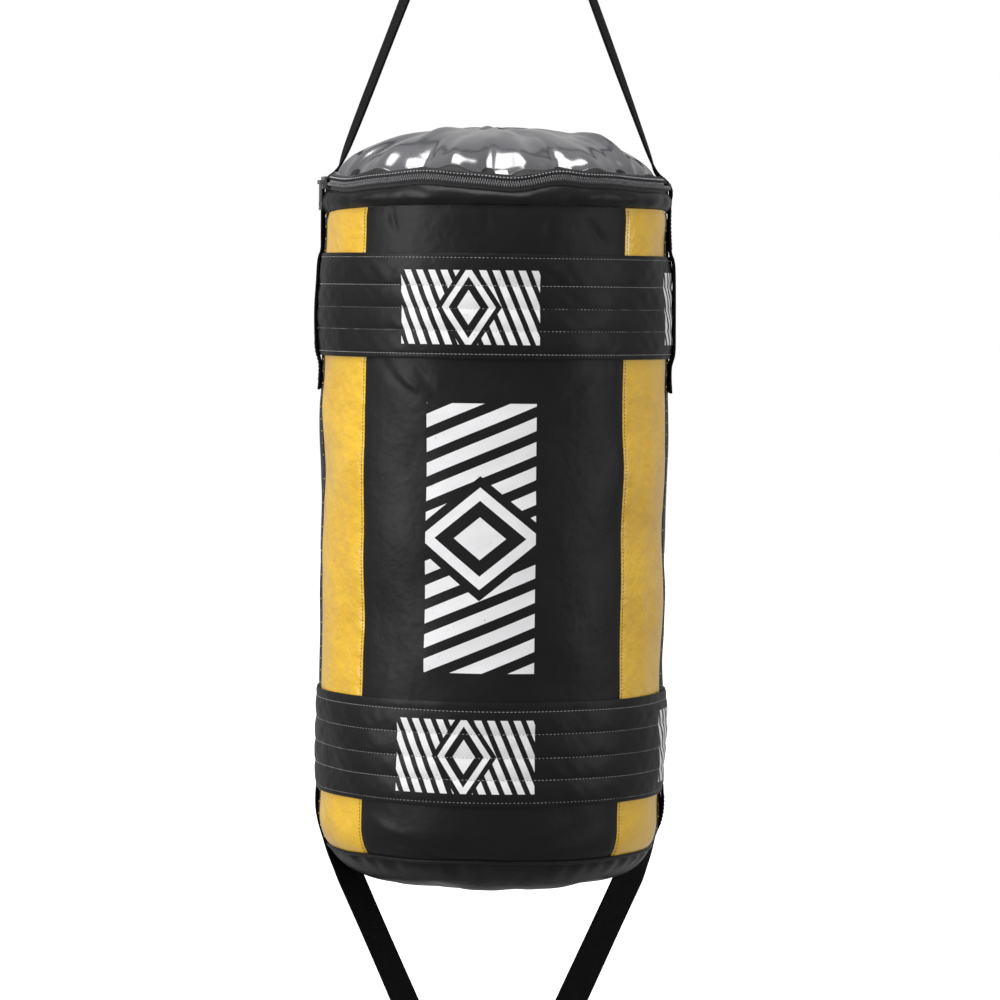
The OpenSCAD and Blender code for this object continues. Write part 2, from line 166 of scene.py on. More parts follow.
class Field:
    """A socket of a shader, which takes part in sums as a number does."""

    def __init__(self, tree, out):
        self.tree, self.out = tree, out

    def sum_of(self, operation, *values, clamp=False):
        step = self.tree.nodes.new("ShaderNodeMath")
        step.operation, step.use_clamp = operation, clamp
        for slot, value in zip(step.inputs, values):
            feed(self.tree, slot, value)
        return Field(self.tree, step.outputs[0])

    def __add__(self, other):
        return self.sum_of("ADD", self, other)

    def __radd__(self, other):
        return self.sum_of("ADD", other, self)

    def __sub__(self, other):
        return self.sum_of("SUBTRACT", self, other)

    def __rsub__(self, other):
        return self.sum_of("SUBTRACT", other, self)

    def __mul__(self, other):
        return self.sum_of("MULTIPLY", self, other)

    def __rmul__(self, other):
        return self.sum_of("MULTIPLY", other, self)

    def __truediv__(self, other):
        return self.sum_of("DIVIDE", self, other)

    def __gt__(self, other):
        return self.sum_of("GREATER_THAN", self, other)

    def __lt__(self, other):
        return self.sum_of("LESS_THAN", self, other)

    def abs(self):
        return self.sum_of("ABSOLUTE", self)

    def sin(self):
        return self.sum_of("SINE", self)

    def fract(self):
        return self.sum_of("FRACT", self)

    def most(self, other):
        return self.sum_of("MAXIMUM", self, other)

    def kept(self):
        return self.sum_of("ADD", self, 0.0, clamp=True)


def feed(tree, slot, value):
    if isinstance(value, Field):
        tree.links.new(value.out, slot)
    elif value is not None:
        slot.default_value = value


class Finish:
    """A material as it is put together; plain values go straight on the shader's own sockets."""

    def __init__(self, name, plain):
        self.material = bpy.data.materials.new(name)
        self.material.use_nodes = True
        self.tree = self.material.node_tree
        self.shader = self.tree.nodes["Principled BSDF"]
        for slot, value in plain.items():
            self.shader.inputs[slot].default_value = value

    def node(self, kind, settings, sockets, out=0):
        made = self.tree.nodes.new(kind)
        for name, value in settings.items():
            setattr(made, name, value)
        for slot, value in sockets.items():
            feed(self.tree, made.inputs[slot], value)
        return Field(self.tree, made.outputs[out])

    def place(self):
        return self.node("ShaderNodeTexCoord", {}, {}, "Object")

    def scaled(self, scale, vector=None):
        return self.node("ShaderNodeVectorMath", {"operation": "MULTIPLY"},
                         {0: vector or self.place(), 1: scale})

    def parts(self, vector=None):
        split = self.tree.nodes.new("ShaderNodeSeparateXYZ")
        feed(self.tree, split.inputs[0], vector or self.place())
        return [Field(self.tree, out) for out in split.outputs]

    def uv(self, name):
        vector = self.node("ShaderNodeUVMap", {"uv_map": name}, {})
        return self.parts(vector)[:2]

    def noise(self, scale, detail=3.0, rough=0.5, vector=None):
        return self.node("ShaderNodeTexNoise", {}, {"Vector": vector or self.place(), "Scale": scale,
                         "Detail": detail, "Roughness": rough}, "Fac")

    def cells(self, scale):
        return self.node("ShaderNodeTexVoronoi", {}, {"Vector": self.place(), "Scale": scale}, "Distance")

    def ramp(self, field, low, high, out_low=0.0, out_high=1.0):
        return self.node("ShaderNodeMapRange", {"interpolation_type": "SMOOTHSTEP"},
                         {"Value": field, "From Min": low, "From Max": high,
                          "To Min": out_low, "To Max": out_high})

    def blend(self, part, first, second):
        mixed = self.tree.nodes.new("ShaderNodeMix")
        mixed.data_type = "RGBA"
        feed(self.tree, mixed.inputs[0], part)
        feed(self.tree, mixed.inputs[6], first)
        feed(self.tree, mixed.inputs[7], second)
        return Field(self.tree, mixed.outputs[2])

    def bump(self, height, distance, strength=1.0, under=None):
        sockets = {"Height": height, "Distance": distance, "Strength": strength}
        if under is not None:
            sockets["Normal"] = under
        return self.node("ShaderNodeBump", {}, sockets)

    def set(self, **fields):
        names = {"colour": "Base Color", "roughness": "Roughness", "normal": "Normal",
                 "metallic": "Metallic", "coat": "Coat Weight"}
        for name, field in fields.items():
            feed(self.tree, self.shader.inputs[names[name]], field)
        return self.material


def zinc_steel():
    steel = Finish("zinc_steel", {"Metallic": 1.0, "Specular IOR Level": 0.5})
    cloud = steel.noise(90, 4, 0.6)
    spangle = steel.cells(420)
    draw = steel.noise(60, 2, 0.5, steel.scaled((26, 26, 2)))
    rubbed = steel.ramp(steel.noise(240, 5, 0.7), 0.52, 0.66)
    tone = steel.blend(cloud, (0.50, 0.51, 0.53, 1), (0.72, 0.73, 0.75, 1))
    tone = steel.blend(rubbed * 0.5, tone, (0.30, 0.29, 0.28, 1))
    normal = steel.bump(draw * 0.6 + spangle * 0.4, 0.00006, 0.6)
    return steel.set(colour=tone, roughness=0.20 + cloud * 0.14 + rubbed * 0.16, normal=normal)


def washer_brass():
    brass = Finish("washer_brass", {"Metallic": 1.0})
    stain = brass.noise(160, 4, 0.6)
    tone = brass.blend(stain, (0.62, 0.42, 0.15, 1), (0.82, 0.62, 0.28, 1))
    return brass.set(colour=tone, roughness=0.22 + stain * 0.2, normal=brass.bump(stain, 0.00005))


def dress(node, material):
    """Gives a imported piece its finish."""
    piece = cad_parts[node]
    piece.data.materials.clear()
    piece.data.materials.append(material)


STEEL = zinc_steel()
for part in ("swivel_eye", "swivel_barrel", "snap_hook", "hook_gate", "gate_pin", "hanging_ring",
             "anchor_ring", "anchor_hook", "anchor_gate", "anchor_gate_pin"):
    dress(part, STEEL)
dress("thrust_washer", washer_brass())


# ---------------------------------------------------------------------------
# Filling: shredded cloth in a foam sleeve and a canvas liner, closed in by the cover.
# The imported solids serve, with a cloth or foam finish. Only the canvas-covered pad under the lid
# can be seen, once the lid is folded up, so it is a quilted cushion of its own.

HALF, WHOLE = math.pi, 2 * math.pi
COVER_T = 0.0016
COLLAR_TOP = ZIP_Z - 0.0056
BASE_ROUND = 0.056
ROUND_Z = BASE_Z + BASE_ROUND
SIDE_RUN = COLLAR_TOP - ROUND_Z
EDGE_RUN = BASE_ROUND * math.pi / 2
FLAT_RUN = BAG_R - BASE_ROUND
FULL_RUN = SIDE_RUN + EDGE_RUN + FLAT_RUN
LID_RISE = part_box("lid_back")[1].z - ZIP_Z
WELD = 0.00002


def tidy_shape(piece, smooth=40):
    pick(piece)
    bpy.ops.object.shade_smooth_by_angle(angle=math.radians(smooth))
    return piece


def sheet_of(name, columns, rows, place, close=False):
    """A grid laid out by place(column, row), seen from its left-to-right, top-to-bottom side.

    Its UV map "cloth" holds column and row.
    """
    clear_selection()
    bpy.ops.mesh.primitive_grid_add(x_subdivisions=len(columns) - 1, y_subdivisions=len(rows) - 1, size=2)
    piece = bpy.context.object
    piece.name = name
    mesh = piece.data
    corner = np.empty(len(mesh.vertices) * 3, np.float32)
    mesh.vertices.foreach_get("co", corner)
    corner = corner.reshape(-1, 3)
    col = np.rint((corner[:, 0] + 1) / 2 * (len(columns) - 1)).astype(int)
    row = np.rint((corner[:, 1] + 1) / 2 * (len(rows) - 1)).astype(int)
    u, v = np.asarray(columns)[col], np.asarray(rows)[row]
    mesh.vertices.foreach_set("co", np.ascontiguousarray(place(u, v), np.float32).ravel())
    mesh.uv_layers[0].name = "cloth"
    loops = np.empty(len(mesh.loops), np.int32)
    mesh.loops.foreach_get("vertex_index", loops)
    flat = np.stack([u[loops], v[loops]], 1).astype(np.float32)
    mesh.uv_layers[0].data.foreach_set("uv", flat.ravel())
    mesh.update()
    bpy.ops.object.mode_set(mode="EDIT")
    bpy.ops.mesh.select_all(action="SELECT")
    bpy.ops.mesh.flip_normals()
    if close:
        bpy.ops.mesh.remove_doubles(threshold=WELD)
    bpy.ops.object.mode_set(mode="OBJECT")
    return piece


def made_of(name, points, faces):
    """A piece from its points and faces."""
    mesh = bpy.data.meshes.new(name)
    mesh.from_pydata(points.reshape(-1, 3).tolist(), [], faces)
    piece = bpy.data.objects.new(name, mesh)
    bpy.context.collection.objects.link(piece)
    return piece


def thicken(piece, thickness, offset=-1.0, edge=0.0):
    """Gives a sheet its thickness and, where edge is given, a rounded rim."""
    pick(piece)
    wall = piece.modifiers.new("wall", "SOLIDIFY")
    wall.thickness, wall.offset, wall.use_even_offset = thickness, offset, False
    bpy.ops.object.modifier_apply(modifier="wall")
    if edge:
        rim = piece.modifiers.new("rim", "BEVEL")
        rim.width, rim.segments, rim.limit_method = edge, 2, "ANGLE"
        rim.angle_limit = math.radians(60)
        bpy.ops.object.modifier_apply(modifier="rim")
    return piece


def away_from(angle, at):
    """How far round an angle is from a place, by the short way."""
    return (np.asarray(angle) - at + HALF) % WHOLE - HALF


def at_angle(angle, radius, z):
    """Points at an angle from the front, towards +X."""
    return np.stack([radius * np.sin(angle), -radius * np.cos(angle), z + 0 * angle], -1)


def soft_noise(seed, count, low, high):
    """A smooth random field over angle and run that closes round the bag."""
    draw = np.random.default_rng(seed)
    around = draw.integers(low, high, count)
    along = draw.uniform(low, high, count) / BAG_R * draw.choice([-1, 1], count)
    phase = draw.uniform(0, WHOLE, count)
    weight = draw.normal(0, 1, count) / math.sqrt(count)

    def field(angle, along_run):
        total = 0
        for n, m, p, w in zip(around, along, phase, weight):
            total = total + w * np.sin(n * angle + m * along_run + p)
        return total
    return field


def cloth_finish(name, low, high, scale):
    cloth = Finish(name, {"Roughness": 0.9, "Sheen Weight": 0.25})
    x, y, z = cloth.parts()
    weave = ((x * scale).sin() * (z * scale).sin() + (y * scale).sin() * 0.4) * 0.5
    blot = cloth.noise(35, 4, 0.6)
    normal = cloth.bump(weave + cloth.noise(900, 2, 0.5) * 0.5, 0.0004)
    return cloth.set(colour=cloth.blend((blot + weave * 0.25).kept(), low, high), normal=normal)


CANVAS = cloth_finish("liner_canvas", (0.20, 0.18, 0.15, 1), (0.36, 0.33, 0.28, 1), 3200)
FOAM = cloth_finish("grey_foam", (0.20, 0.20, 0.19, 1), (0.34, 0.33, 0.31, 1), 1500)
dress("liner", CANVAS)
dress("textile_fill", cloth_finish("shredded_cloth", (0.10, 0.09, 0.08, 1), (0.26, 0.24, 0.21, 1), 500))
dress("foam_sleeve", FOAM)
dress("base_pad", FOAM)


def top_cushion():
    """A round canvas cushion with eight sewn wedges and an upright rim."""
    wide, low, high = 0.139, ZIP_Z - 0.014, ZIP_Z + LID_RISE - 0.013
    angles = np.linspace(0, WHOLE, 161)
    runs = np.linspace(0, 1, 36)

    def place(angle, run):
        crown = np.clip(run - 0.22, 0, 1) / 0.78
        radius = wide * np.where(run < 0.22, 1, np.sqrt(np.clip(1 - crown ** 1.6, 0, 1)))
        rise = np.where(run < 0.22, run / 0.22 * 0.2, 0.2 + 0.8 * np.sin(crown * math.pi / 2))
        wedge = np.abs(np.sin(angle * 4)) ** 0.35
        sewn_in = 0.05 * (1 - wedge) * crown * (1 - crown) * 4
        return at_angle(angle, radius, low + (high - low) * (rise - sewn_in))

    cushion = sheet_of("top_cushion", angles, runs, place, close=True)
    pick(cushion)
    bpy.ops.object.mode_set(mode="EDIT")
    bpy.ops.mesh.select_mode(type="EDGE")
    bpy.ops.mesh.select_all(action="DESELECT")
    bpy.ops.mesh.select_non_manifold()
    bpy.ops.mesh.edge_face_add()
    bpy.ops.mesh.select_all(action="SELECT")
    bpy.ops.mesh.normals_make_consistent(inside=False)
    bpy.ops.object.mode_set(mode="OBJECT")
    cushion.data.materials.append(CANVAS)
    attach(tidy_shape(cushion), "bag")
    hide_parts("top_pad")


top_cushion()


# ---------------------------------------------------------------------------
# Stuffed body: the shape that the cover takes when it is packed full.
# A cloth of the cover's size is held at the collar and at the edges of the two bands, and the
# filling's pressure swells it. Each cover piece is then laid on that surface.

UPPER_BAND = [z.z - ZIP_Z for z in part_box("upper_band")]
LOWER_BAND = [z.z - ZIP_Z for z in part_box("lower_band")]
SIM_COLUMNS, SIM_STEP = 144, 0.0066
SIM_ANGLES = np.arange(SIM_COLUMNS) * WHOLE / SIM_COLUMNS
SWELL_CAP = 0.007


def run_at(z):
    """Run down the cover at a height on its side."""
    return COLLAR_TOP - z


def bare_profile(run):
    """Radius, height and outward direction of the unswollen cover, at a run down from the collar."""
    turn = np.clip((run - SIDE_RUN) / BASE_ROUND, 0, math.pi / 2)
    inner = np.clip(run - SIDE_RUN - EDGE_RUN, 0, None)
    radius = BAG_R - BASE_ROUND + BASE_ROUND * np.cos(turn) - inner
    z = COLLAR_TOP - np.clip(run, None, SIDE_RUN) - BASE_ROUND * np.sin(turn)
    return radius, z, np.cos(turn), -np.sin(turn)


def hold_cloth(piece, group_name, weights):
    group = piece.vertex_groups.new(name=group_name)
    for index, weight in enumerate(weights):
        if weight > 0:
            group.add([index], float(weight), "REPLACE")


def settle(piece, weights, rest, pressure, bend, frames):
    """Runs the cloth under pressure from the filling and returns where its points come to rest."""
    hold_cloth(piece, "held", weights)
    piece.shape_key_add(name="start")
    cut = piece.shape_key_add(name="cut_size")
    cut.data.foreach_set("co", np.ascontiguousarray(rest, np.float32).ravel())
    cloth = piece.modifiers.new("settle", "CLOTH")
    how = cloth.settings
    how.rest_shape_key = cut
    how.quality = 6
    how.mass = 0.3
    how.tension_stiffness = how.compression_stiffness = 25
    how.shear_stiffness = 12
    how.bending_stiffness = bend
    how.air_damping = 1.5
    how.vertex_group_mass = "held"
    how.pin_stiffness = 1.0
    how.use_pressure = True
    how.uniform_pressure_force = pressure
    how.effector_weights.gravity = 0
    cloth.point_cache.frame_start, cloth.point_cache.frame_end = 1, frames
    for frame_number in range(1, frames + 1):
        bpy.context.scene.frame_set(frame_number)
    shown = piece.evaluated_get(bpy.context.evaluated_depsgraph_get())
    made = shown.to_mesh()
    settled = np.empty(len(made.vertices) * 3, np.float32)
    made.vertices.foreach_get("co", settled)
    shown.to_mesh_clear()
    bpy.context.scene.frame_set(1)
    bpy.data.objects.remove(piece)
    return settled.reshape(-1, 3).astype(float)


def swollen_body():
    """Outward swell of the cover, on a grid of angle by run."""
    rows = int(FULL_RUN / SIM_STEP)
    runs = np.linspace(0, FULL_RUN - 0.004, rows)
    angle, run = np.meshgrid(SIM_ANGLES, runs)
    radius, z, out_r, out_z = bare_profile(run)
    rough = soft_noise(11, 14, 3, 12)(angle, run) * 0.0006
    start = at_angle(angle, radius + rough * out_r, z + rough * out_z)
    slack = 1.018
    middle = (COLLAR_TOP + BASE_Z) / 2
    rest = start * [slack, slack, 1]
    rest[..., 2] = middle + (start[..., 2] - middle) * slack
    index = np.arange(rows * SIM_COLUMNS).reshape(rows, SIM_COLUMNS)
    side = np.roll(index, -1, 1)
    faces = np.stack([index[1:], side[1:], side[:-1], index[:-1]], -1).reshape(-1, 4).tolist()
    faces.append(index[-1][::-1].tolist())
    piece = made_of("stuffed_cloth", start, faces)
    drop = -(z - ZIP_Z)
    held = (run < 0.002) * 1.0
    for low, high in (UPPER_BAND, LOWER_BAND):
        inside = (drop > -high) & (drop < -low)
        at_edge = np.minimum(np.abs(drop + high), np.abs(drop + low)) < SIM_STEP
        held = np.maximum(held, np.where(at_edge, 0.75, inside * 0.35))
    settled = settle(piece, held.ravel(), rest.reshape(-1, 3), 3.2, 1.2, 20).reshape(rows, SIM_COLUMNS, 3)
    moved = settled - at_angle(angle, radius, z)
    outward = np.stack([out_r * np.sin(angle), -out_r * np.cos(angle), out_z], -1)
    swell = np.clip((moved * outward).sum(-1), -SWELL_CAP, SWELL_CAP)
    return SIM_ANGLES, runs, swell


SWELL = swollen_body()


def looked_up(grid, angle, run):
    """The swell between the grid's points, smooth both ways."""
    angles, runs, values = grid
    at = (angle / WHOLE * len(angles)) % len(angles)
    down = np.clip(run / runs[-1] * (len(runs) - 1), 0, len(runs) - 1.001)
    i, j = np.floor(at).astype(int), np.floor(down).astype(int)
    total, whole = 0, 0
    for di in (-1, 0, 1, 2):
        for dj in (-1, 0, 1, 2):
            weight = np.exp(-((at - i - di) ** 2 + (down - j - dj) ** 2) * 1.1)
            total = total + weight * values[np.clip(j + dj, 0, len(runs) - 1), (i + di) % len(angles)]
            whole = whole + weight
    return total / whole


# Soft folds: angle, drop below the zip, half length, half width, slant from upright, depth.
FOLDS = [
    (-0.60, 0.162, 0.016, 0.0045, 0.9, -0.0016), (-0.50, 0.168, 0.020, 0.004, 1.1, 0.0014),
    (-0.42, 0.160, 0.012, 0.004, 0.7, -0.0012), (0.48, 0.172, 0.018, 0.005, -0.9, -0.0013),
    (0.62, 0.045, 0.014, 0.004, 0.8, -0.0014), (0.30, 0.036, 0.010, 0.004, -0.5, -0.0012),
    (-0.62, 0.032, 0.010, 0.003, 0.3, -0.0013), (-0.05, 0.033, 0.010, 0.003, 0.2, -0.0012),
    (-0.92, 0.30, 0.050, 0.010, 0.1, 0.0012), (0.98, 0.25, 0.060, 0.010, -0.1, -0.0012),
    (1.02, 0.36, 0.050, 0.009, 0.12, 0.0012), (-0.98, 0.40, 0.040, 0.009, -0.1, -0.0012),
    (-0.62, 0.545, 0.020, 0.006, 1.2, 0.0020), (-0.45, 0.560, 0.024, 0.006, 1.3, -0.0022),
    (0.40, 0.552, 0.024, 0.007, -1.2, -0.0018), (0.05, 0.566, 0.030, 0.006, 1.5, 0.0016),
    (2.40, 0.170, 0.020, 0.005, 0.9, -0.0015), (3.50, 0.430, 0.020, 0.006, -0.8, 0.0014),
    (2.90, 0.550, 0.024, 0.007, 1.2, -0.0018), (3.90, 0.300, 0.060, 0.010, 0.1, 0.0012),
]
SQUEEZE = 0.0020


def strap_squeeze(angle, run):
    """How far the anchor webbing pulls the base edge in, under each strap."""
    down = np.exp(-((run - SIDE_RUN - 0.031) / 0.024) ** 2)
    total = 0
    for side in (1, -1):
        away = away_from(angle, side * HALF / 2)
        total = total - SQUEEZE * down * np.exp(-(away / 0.34) ** 2)
    return total


UNEVEN = soft_noise(5, 26, 2, 9)
DIMPLED = soft_noise(8, 30, 9, 24)


def folds_at(angle, run):
    drop = run + (ZIP_Z - COLLAR_TOP)
    total = 0
    for at, down, length, width, slant, depth in FOLDS:
        away = away_from(angle, at)
        x, y = away * BAG_R, drop - down
        along = x * math.sin(slant) + y * math.cos(slant)
        across = x * math.cos(slant) - y * math.sin(slant)
        total = total + depth * np.exp(-(along / length) ** 2 - (across / width) ** 2)
    return total


def on_bag(angle, run, lift=0.0):
    """Points on the stuffed cover, at a lift above it."""
    radius, z, out_r, out_z = bare_profile(run)
    swell = looked_up(SWELL, angle, run) + UNEVEN(angle, run) * 0.0011 + DIMPLED(angle, run) * 0.00022
    total = swell + folds_at(angle, run) + strap_squeeze(angle, run) + lift
    return at_angle(angle, radius + out_r * total, z + out_z * total)


# ---------------------------------------------------------------------------
# Cover panels: coated cloth sewn in upright panels, black in front and behind, gold beside them,
# and a narrow black one under each strap. Each is laid on the stuffed body as a sheet with its own
# thickness, and dips where a seam draws it in.

SEAM_ANGLES = [math.radians(a) for a in (47, 80)]
ALL_SEAMS = [side * a for side in (1, -1) for a in SEAM_ANGLES]
ALL_SEAMS += [side * (HALF - a) for side in (1, -1) for a in SEAM_ANGLES]
PANEL_RUN = (COLLAR_TOP - (ZIP_Z - 0.020), SIDE_RUN + math.radians(30) * BASE_ROUND)
SEAM_GAP = 0.0003


def collar_seam_droop(angle):
    """How far the seam under the collar hangs below its even height, most at the left."""
    away = away_from(angle, 0)
    corner = np.exp(-((np.abs(away) - 1.50) / 0.16) ** 2)
    return 0.0046 * np.exp(-((away + 1.45) / 0.62) ** 2) + 0.0036 * corner


def seam_dip(angle):
    """How far the upright seams draw the cover in."""
    return sum(-0.0011 * np.exp(-(away_from(angle, seam) * BAG_R / 0.0045) ** 2) for seam in ALL_SEAMS)


def across_dip(run):
    """How far the seams at the panels' upper and lower edges draw the cover in."""
    return sum(-0.0012 * np.exp(-((run - at) / 0.005) ** 2) for at in PANEL_RUN)


def cover_panel(name, first, last, node, material):
    gap = SEAM_GAP / BAG_R
    columns = np.linspace(first + gap, last - gap, max(int((last - first) * BAG_R / 0.0021), 8) + 1)
    rows = np.linspace(PANEL_RUN[0] + SEAM_GAP, PANEL_RUN[1], 250)

    def place(angle, run):
        point = on_bag(angle, run, seam_dip(angle) + across_dip(run))
        point[..., 2] -= collar_seam_droop(angle) * np.clip(1 - (run - PANEL_RUN[0]) / 0.034, 0, 1)
        return point

    panel = sheet_of(name, columns, rows, place)
    thicken(panel, COVER_T)
    panel.data.materials.append(material)
    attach(tidy_shape(panel), "bag")
    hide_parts(node)
    return panel


def vinyl(name, low, high, plain, rough, grain=0.00012, mark=None, crease=0.0022):
    """Coated cloth: pebbled skin, the backing's weave showing through, cloudy gloss and light scuffs."""
    skin = Finish(name, plain)
    u, v = skin.uv("cloth")
    cloud = skin.noise(14, 4, 0.6)
    pebble = skin.cells(620) * 0.7 + skin.noise(1100, 2, 0.6) * 0.5
    weave = (u * (BAG_R * 3300)).sin() * (v * 3300).sin()
    crumple = skin.noise(60, 3, 0.55)
    scuff = skin.ramp(skin.noise(32, 6, 0.72), 0.60, 0.74)
    tone = skin.blend((cloud * 0.8 + crumple * 0.3 + weave * 0.06).kept(), low, high)
    tone = skin.blend(scuff * 0.22, tone, tuple(min(c * 1.3 + 0.006, 1) for c in high[:3]) + (1,))
    shine = rough[0] + (rough[1] - rough[0]) * cloud + scuff * 0.10
    height = pebble * 0.6 + weave * 0.25
    if mark is not None:
        pale_marks = mark(u, v) * skin.ramp(skin.noise(420, 4, 0.65), 0.24, 0.34)
        tone = skin.blend(pale_marks * 0.94, tone, (0.78, 0.78, 0.79, 1))
        shine = shine + pale_marks * 0.06
    normal = skin.bump(height, grain, 0.8, skin.bump(crumple, crease, 0.5))
    return skin.set(colour=tone, roughness=shine, normal=normal)


def barred_motif(along, up, length, height):
    """A plain printed motif: slanted bars either side of a framed diamond."""
    bars = ((along + up * 0.42) / (length / 11)).fract() < 0.56
    diamond = along.abs() / (length * 0.19) + up.abs() / (height * 0.56)
    frame_part = (diamond < 1.0) - (diamond < 0.74) + (diamond < 0.42)
    inside = (along.abs() < length / 2) * (up.abs() < height / 2)
    return inside * (bars * (diamond > 1.22) + frame_part)


CENTRE_PRINT = 0.226, 0.094


def centre_print(u, v):
    across = (u + 0.072) * BAG_R
    down = v - run_at(ZIP_Z - 0.298)
    return barred_motif(down, across, *CENTRE_PRINT)


BLACK_LOW, BLACK_HIGH = (0.0050, 0.0048, 0.0050, 1), (0.0105, 0.0102, 0.0104, 1)
BLACK_PLAIN = {"Specular IOR Level": 0.16}
PANEL_BLACK = vinyl("panel_black_vinyl", BLACK_LOW, BLACK_HIGH, BLACK_PLAIN, (0.36, 0.50))
PRINTED_BLACK = vinyl("printed_black_vinyl", BLACK_LOW, BLACK_HIGH, BLACK_PLAIN, (0.36, 0.50),
                      mark=centre_print)
GOLD = vinyl("gold_vinyl", (0.52, 0.265, 0.008, 1), (0.84, 0.530, 0.026, 1),
             {"Specular IOR Level": 0.40, "Coat Roughness": 0.10, "Coat Weight": 0.55}, (0.26, 0.38),
             grain=0.00008, crease=0.0060)

FRONT_A, SIDE_A = SEAM_ANGLES
cover_panel("front_cover_panel", -FRONT_A, FRONT_A, "front_panel", PRINTED_BLACK)
cover_panel("back_cover_panel", HALF - FRONT_A, HALF + FRONT_A, "back_panel", PANEL_BLACK)
cover_panel("right_side_cover", SIDE_A, HALF - SIDE_A, "side_panel_right", PANEL_BLACK)
cover_panel("left_side_cover", HALF + SIDE_A, WHOLE - SIDE_A, "side_panel_left", PANEL_BLACK)
cover_panel("gold_cover_front_right", FRONT_A, SIDE_A, "gold_strip_front_right", GOLD)
cover_panel("gold_cover_back_right", HALF - SIDE_A, HALF - FRONT_A, "gold_strip_back_right", GOLD)
cover_panel("gold_cover_back_left", HALF + FRONT_A, HALF + SIDE_A, "gold_strip_back_left", GOLD)
cover_panel("gold_cover_front_left", WHOLE - SIDE_A, WHOLE - FRONT_A, "gold_strip_front_left", GOLD)


# ---------------------------------------------------------------------------
# Sewing of the panels: one row of black topstitching beside each gold edge, and a heavier row of
# long and short stitches down each side seam. Every stitch is a short rise of thread.

def thread_finish(name, low, high):
    yarn = Finish(name, {"Sheen Weight": 0.3})
    ply = yarn.noise(2600, 2, 0.5)
    fuzz = yarn.noise(500, 3, 0.6)
    normal = yarn.bump(ply, 0.0002, 0.7)
    return yarn.set(colour=yarn.blend((fuzz * 0.6 + ply * 0.4).kept(), low, high),
                    roughness=0.55 + fuzz * 0.25, normal=normal)


BLACK_THREAD = thread_finish("black_thread", (0.010, 0.010, 0.010, 1), (0.035, 0.035, 0.035, 1))
GREY_THREAD = thread_finish("grey_thread", (0.14, 0.14, 0.15, 1), (0.40, 0.40, 0.42, 1))
GOLD_THREAD = thread_finish("gold_thread", (0.42, 0.24, 0.03, 1), (0.78, 0.52, 0.10, 1))


def stitch_row(points, normals, pitch, length, thick):
    """Middle, direction and normal of each stitch along a line of points, then its length and thickness."""
    step = np.linalg.norm(np.diff(points, axis=0), axis=1)
    far = np.concatenate([[0], np.cumsum(step)])
    count = max(int(far[-1] / pitch), 1)
    at = (np.arange(count) + 0.5) * far[-1] / count

    def between(values, where):
        return np.stack([np.interp(where, far, values[:, k]) for k in range(3)], 1)
    ahead, behind = between(points, at + length / 2), between(points, at - length / 2)
    return (ahead + behind) / 2, (ahead - behind) / length, between(normals, at), length, thick


def sew(name, rows, material, body="bag"):
    """Copies one low stitch, a six-sided bead with sunk ends, to every place in the rows."""
    clear_selection()
    bpy.ops.mesh.primitive_uv_sphere_add(segments=6, ring_count=4, radius=0.5)
    bead = bpy.context.object
    shape = np.array([v.co for v in bead.data.vertices])[:, [2, 0, 1]]
    faces = [list(f.vertices) for f in bead.data.polygons]
    bpy.data.objects.remove(bead)
    all_points = []
    for middle, ahead, normal, length, thick in rows:
        ahead = ahead / np.linalg.norm(ahead, axis=1, keepdims=True)
        normal = normal - ahead * (normal * ahead).sum(1, keepdims=True)
        normal = normal / np.linalg.norm(normal, axis=1, keepdims=True)
        side = np.cross(normal, ahead)
        arch = 0.25 - shape[:, 0] ** 2
        for m, a, n, s in zip(middle, ahead, normal, side):
            placed = m + np.outer(shape[:, 0] * length, a) + np.outer(shape[:, 1] * thick, s)
            placed = placed + np.outer(shape[:, 2] * thick + arch * thick * 1.4 - thick * 0.1, n)
            all_points.append(placed)
    points = np.concatenate(all_points)
    joined = [[k * len(shape) + v for v in face] for k in range(len(all_points)) for face in faces]
    piece = made_of(name, points, joined)
    piece.data.materials.append(material)
    piece.data.shade_smooth()
    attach(piece, body)
    return piece


def bag_line(angle, run, lift):
    """A line on the cover with its outward directions, for sewing."""
    angle, run = np.broadcast_arrays(np.asarray(angle, float), np.asarray(run, float))
    low, high = on_bag(angle, run, lift), on_bag(angle, run, lift + 0.001)
    return low, (high - low) / 0.001


# Kinds of stitch: pitch, length, thickness.
TOPSTITCH = 0.0030, 0.0023, 0.0006
SEAM_CORD = 0.0205, 0.0165, 0.0013
SEAM_TICK = SEAM_CORD[0] / 2, 0.0016, 0.0010
QUILTING = 0.0034, 0.0027, 0.0007
HEM_STITCH = 0.0030, 0.0018, 0.0014
BOX_STITCH = 0.0031, 0.0025, 0.0007


def panel_sewing():
    runs = np.linspace(PANEL_RUN[0] + 0.002, PANEL_RUN[1] - 0.002, 240)
    rows = []
    for seam in ALL_SEAMS:
        gold_beyond = any(abs(abs(seam) - edge) < 0.01 for edge in (FRONT_A, HALF - SIDE_A))
        toward_gold = 1 if gold_beyond else -1
        at = seam + toward_gold * math.copysign(0.0024 / BAG_R, seam)
        rows.append(stitch_row(*bag_line(at, runs, seam_dip(at)), *TOPSTITCH))
    sew("panel_topstitching", rows, BLACK_THREAD)
    heavy, ticks = [], []
    for side in (1, -1):
        for seam in (SIDE_A, HALF - SIDE_A):
            inward = 0.0020 if seam < HALF / 2 else -0.0020
            at = side * (seam + inward / BAG_R)
            sunk = seam_dip(at)
            heavy.append(stitch_row(*bag_line(at, runs, sunk), *SEAM_CORD))
            ticks.append(stitch_row(*bag_line(at, runs, sunk + 0.0004), *SEAM_TICK))
    sew("side_seam_cord", heavy, BLACK_THREAD)
    sew("side_seam_ticks", ticks, GOLD_THREAD)


panel_sewing()


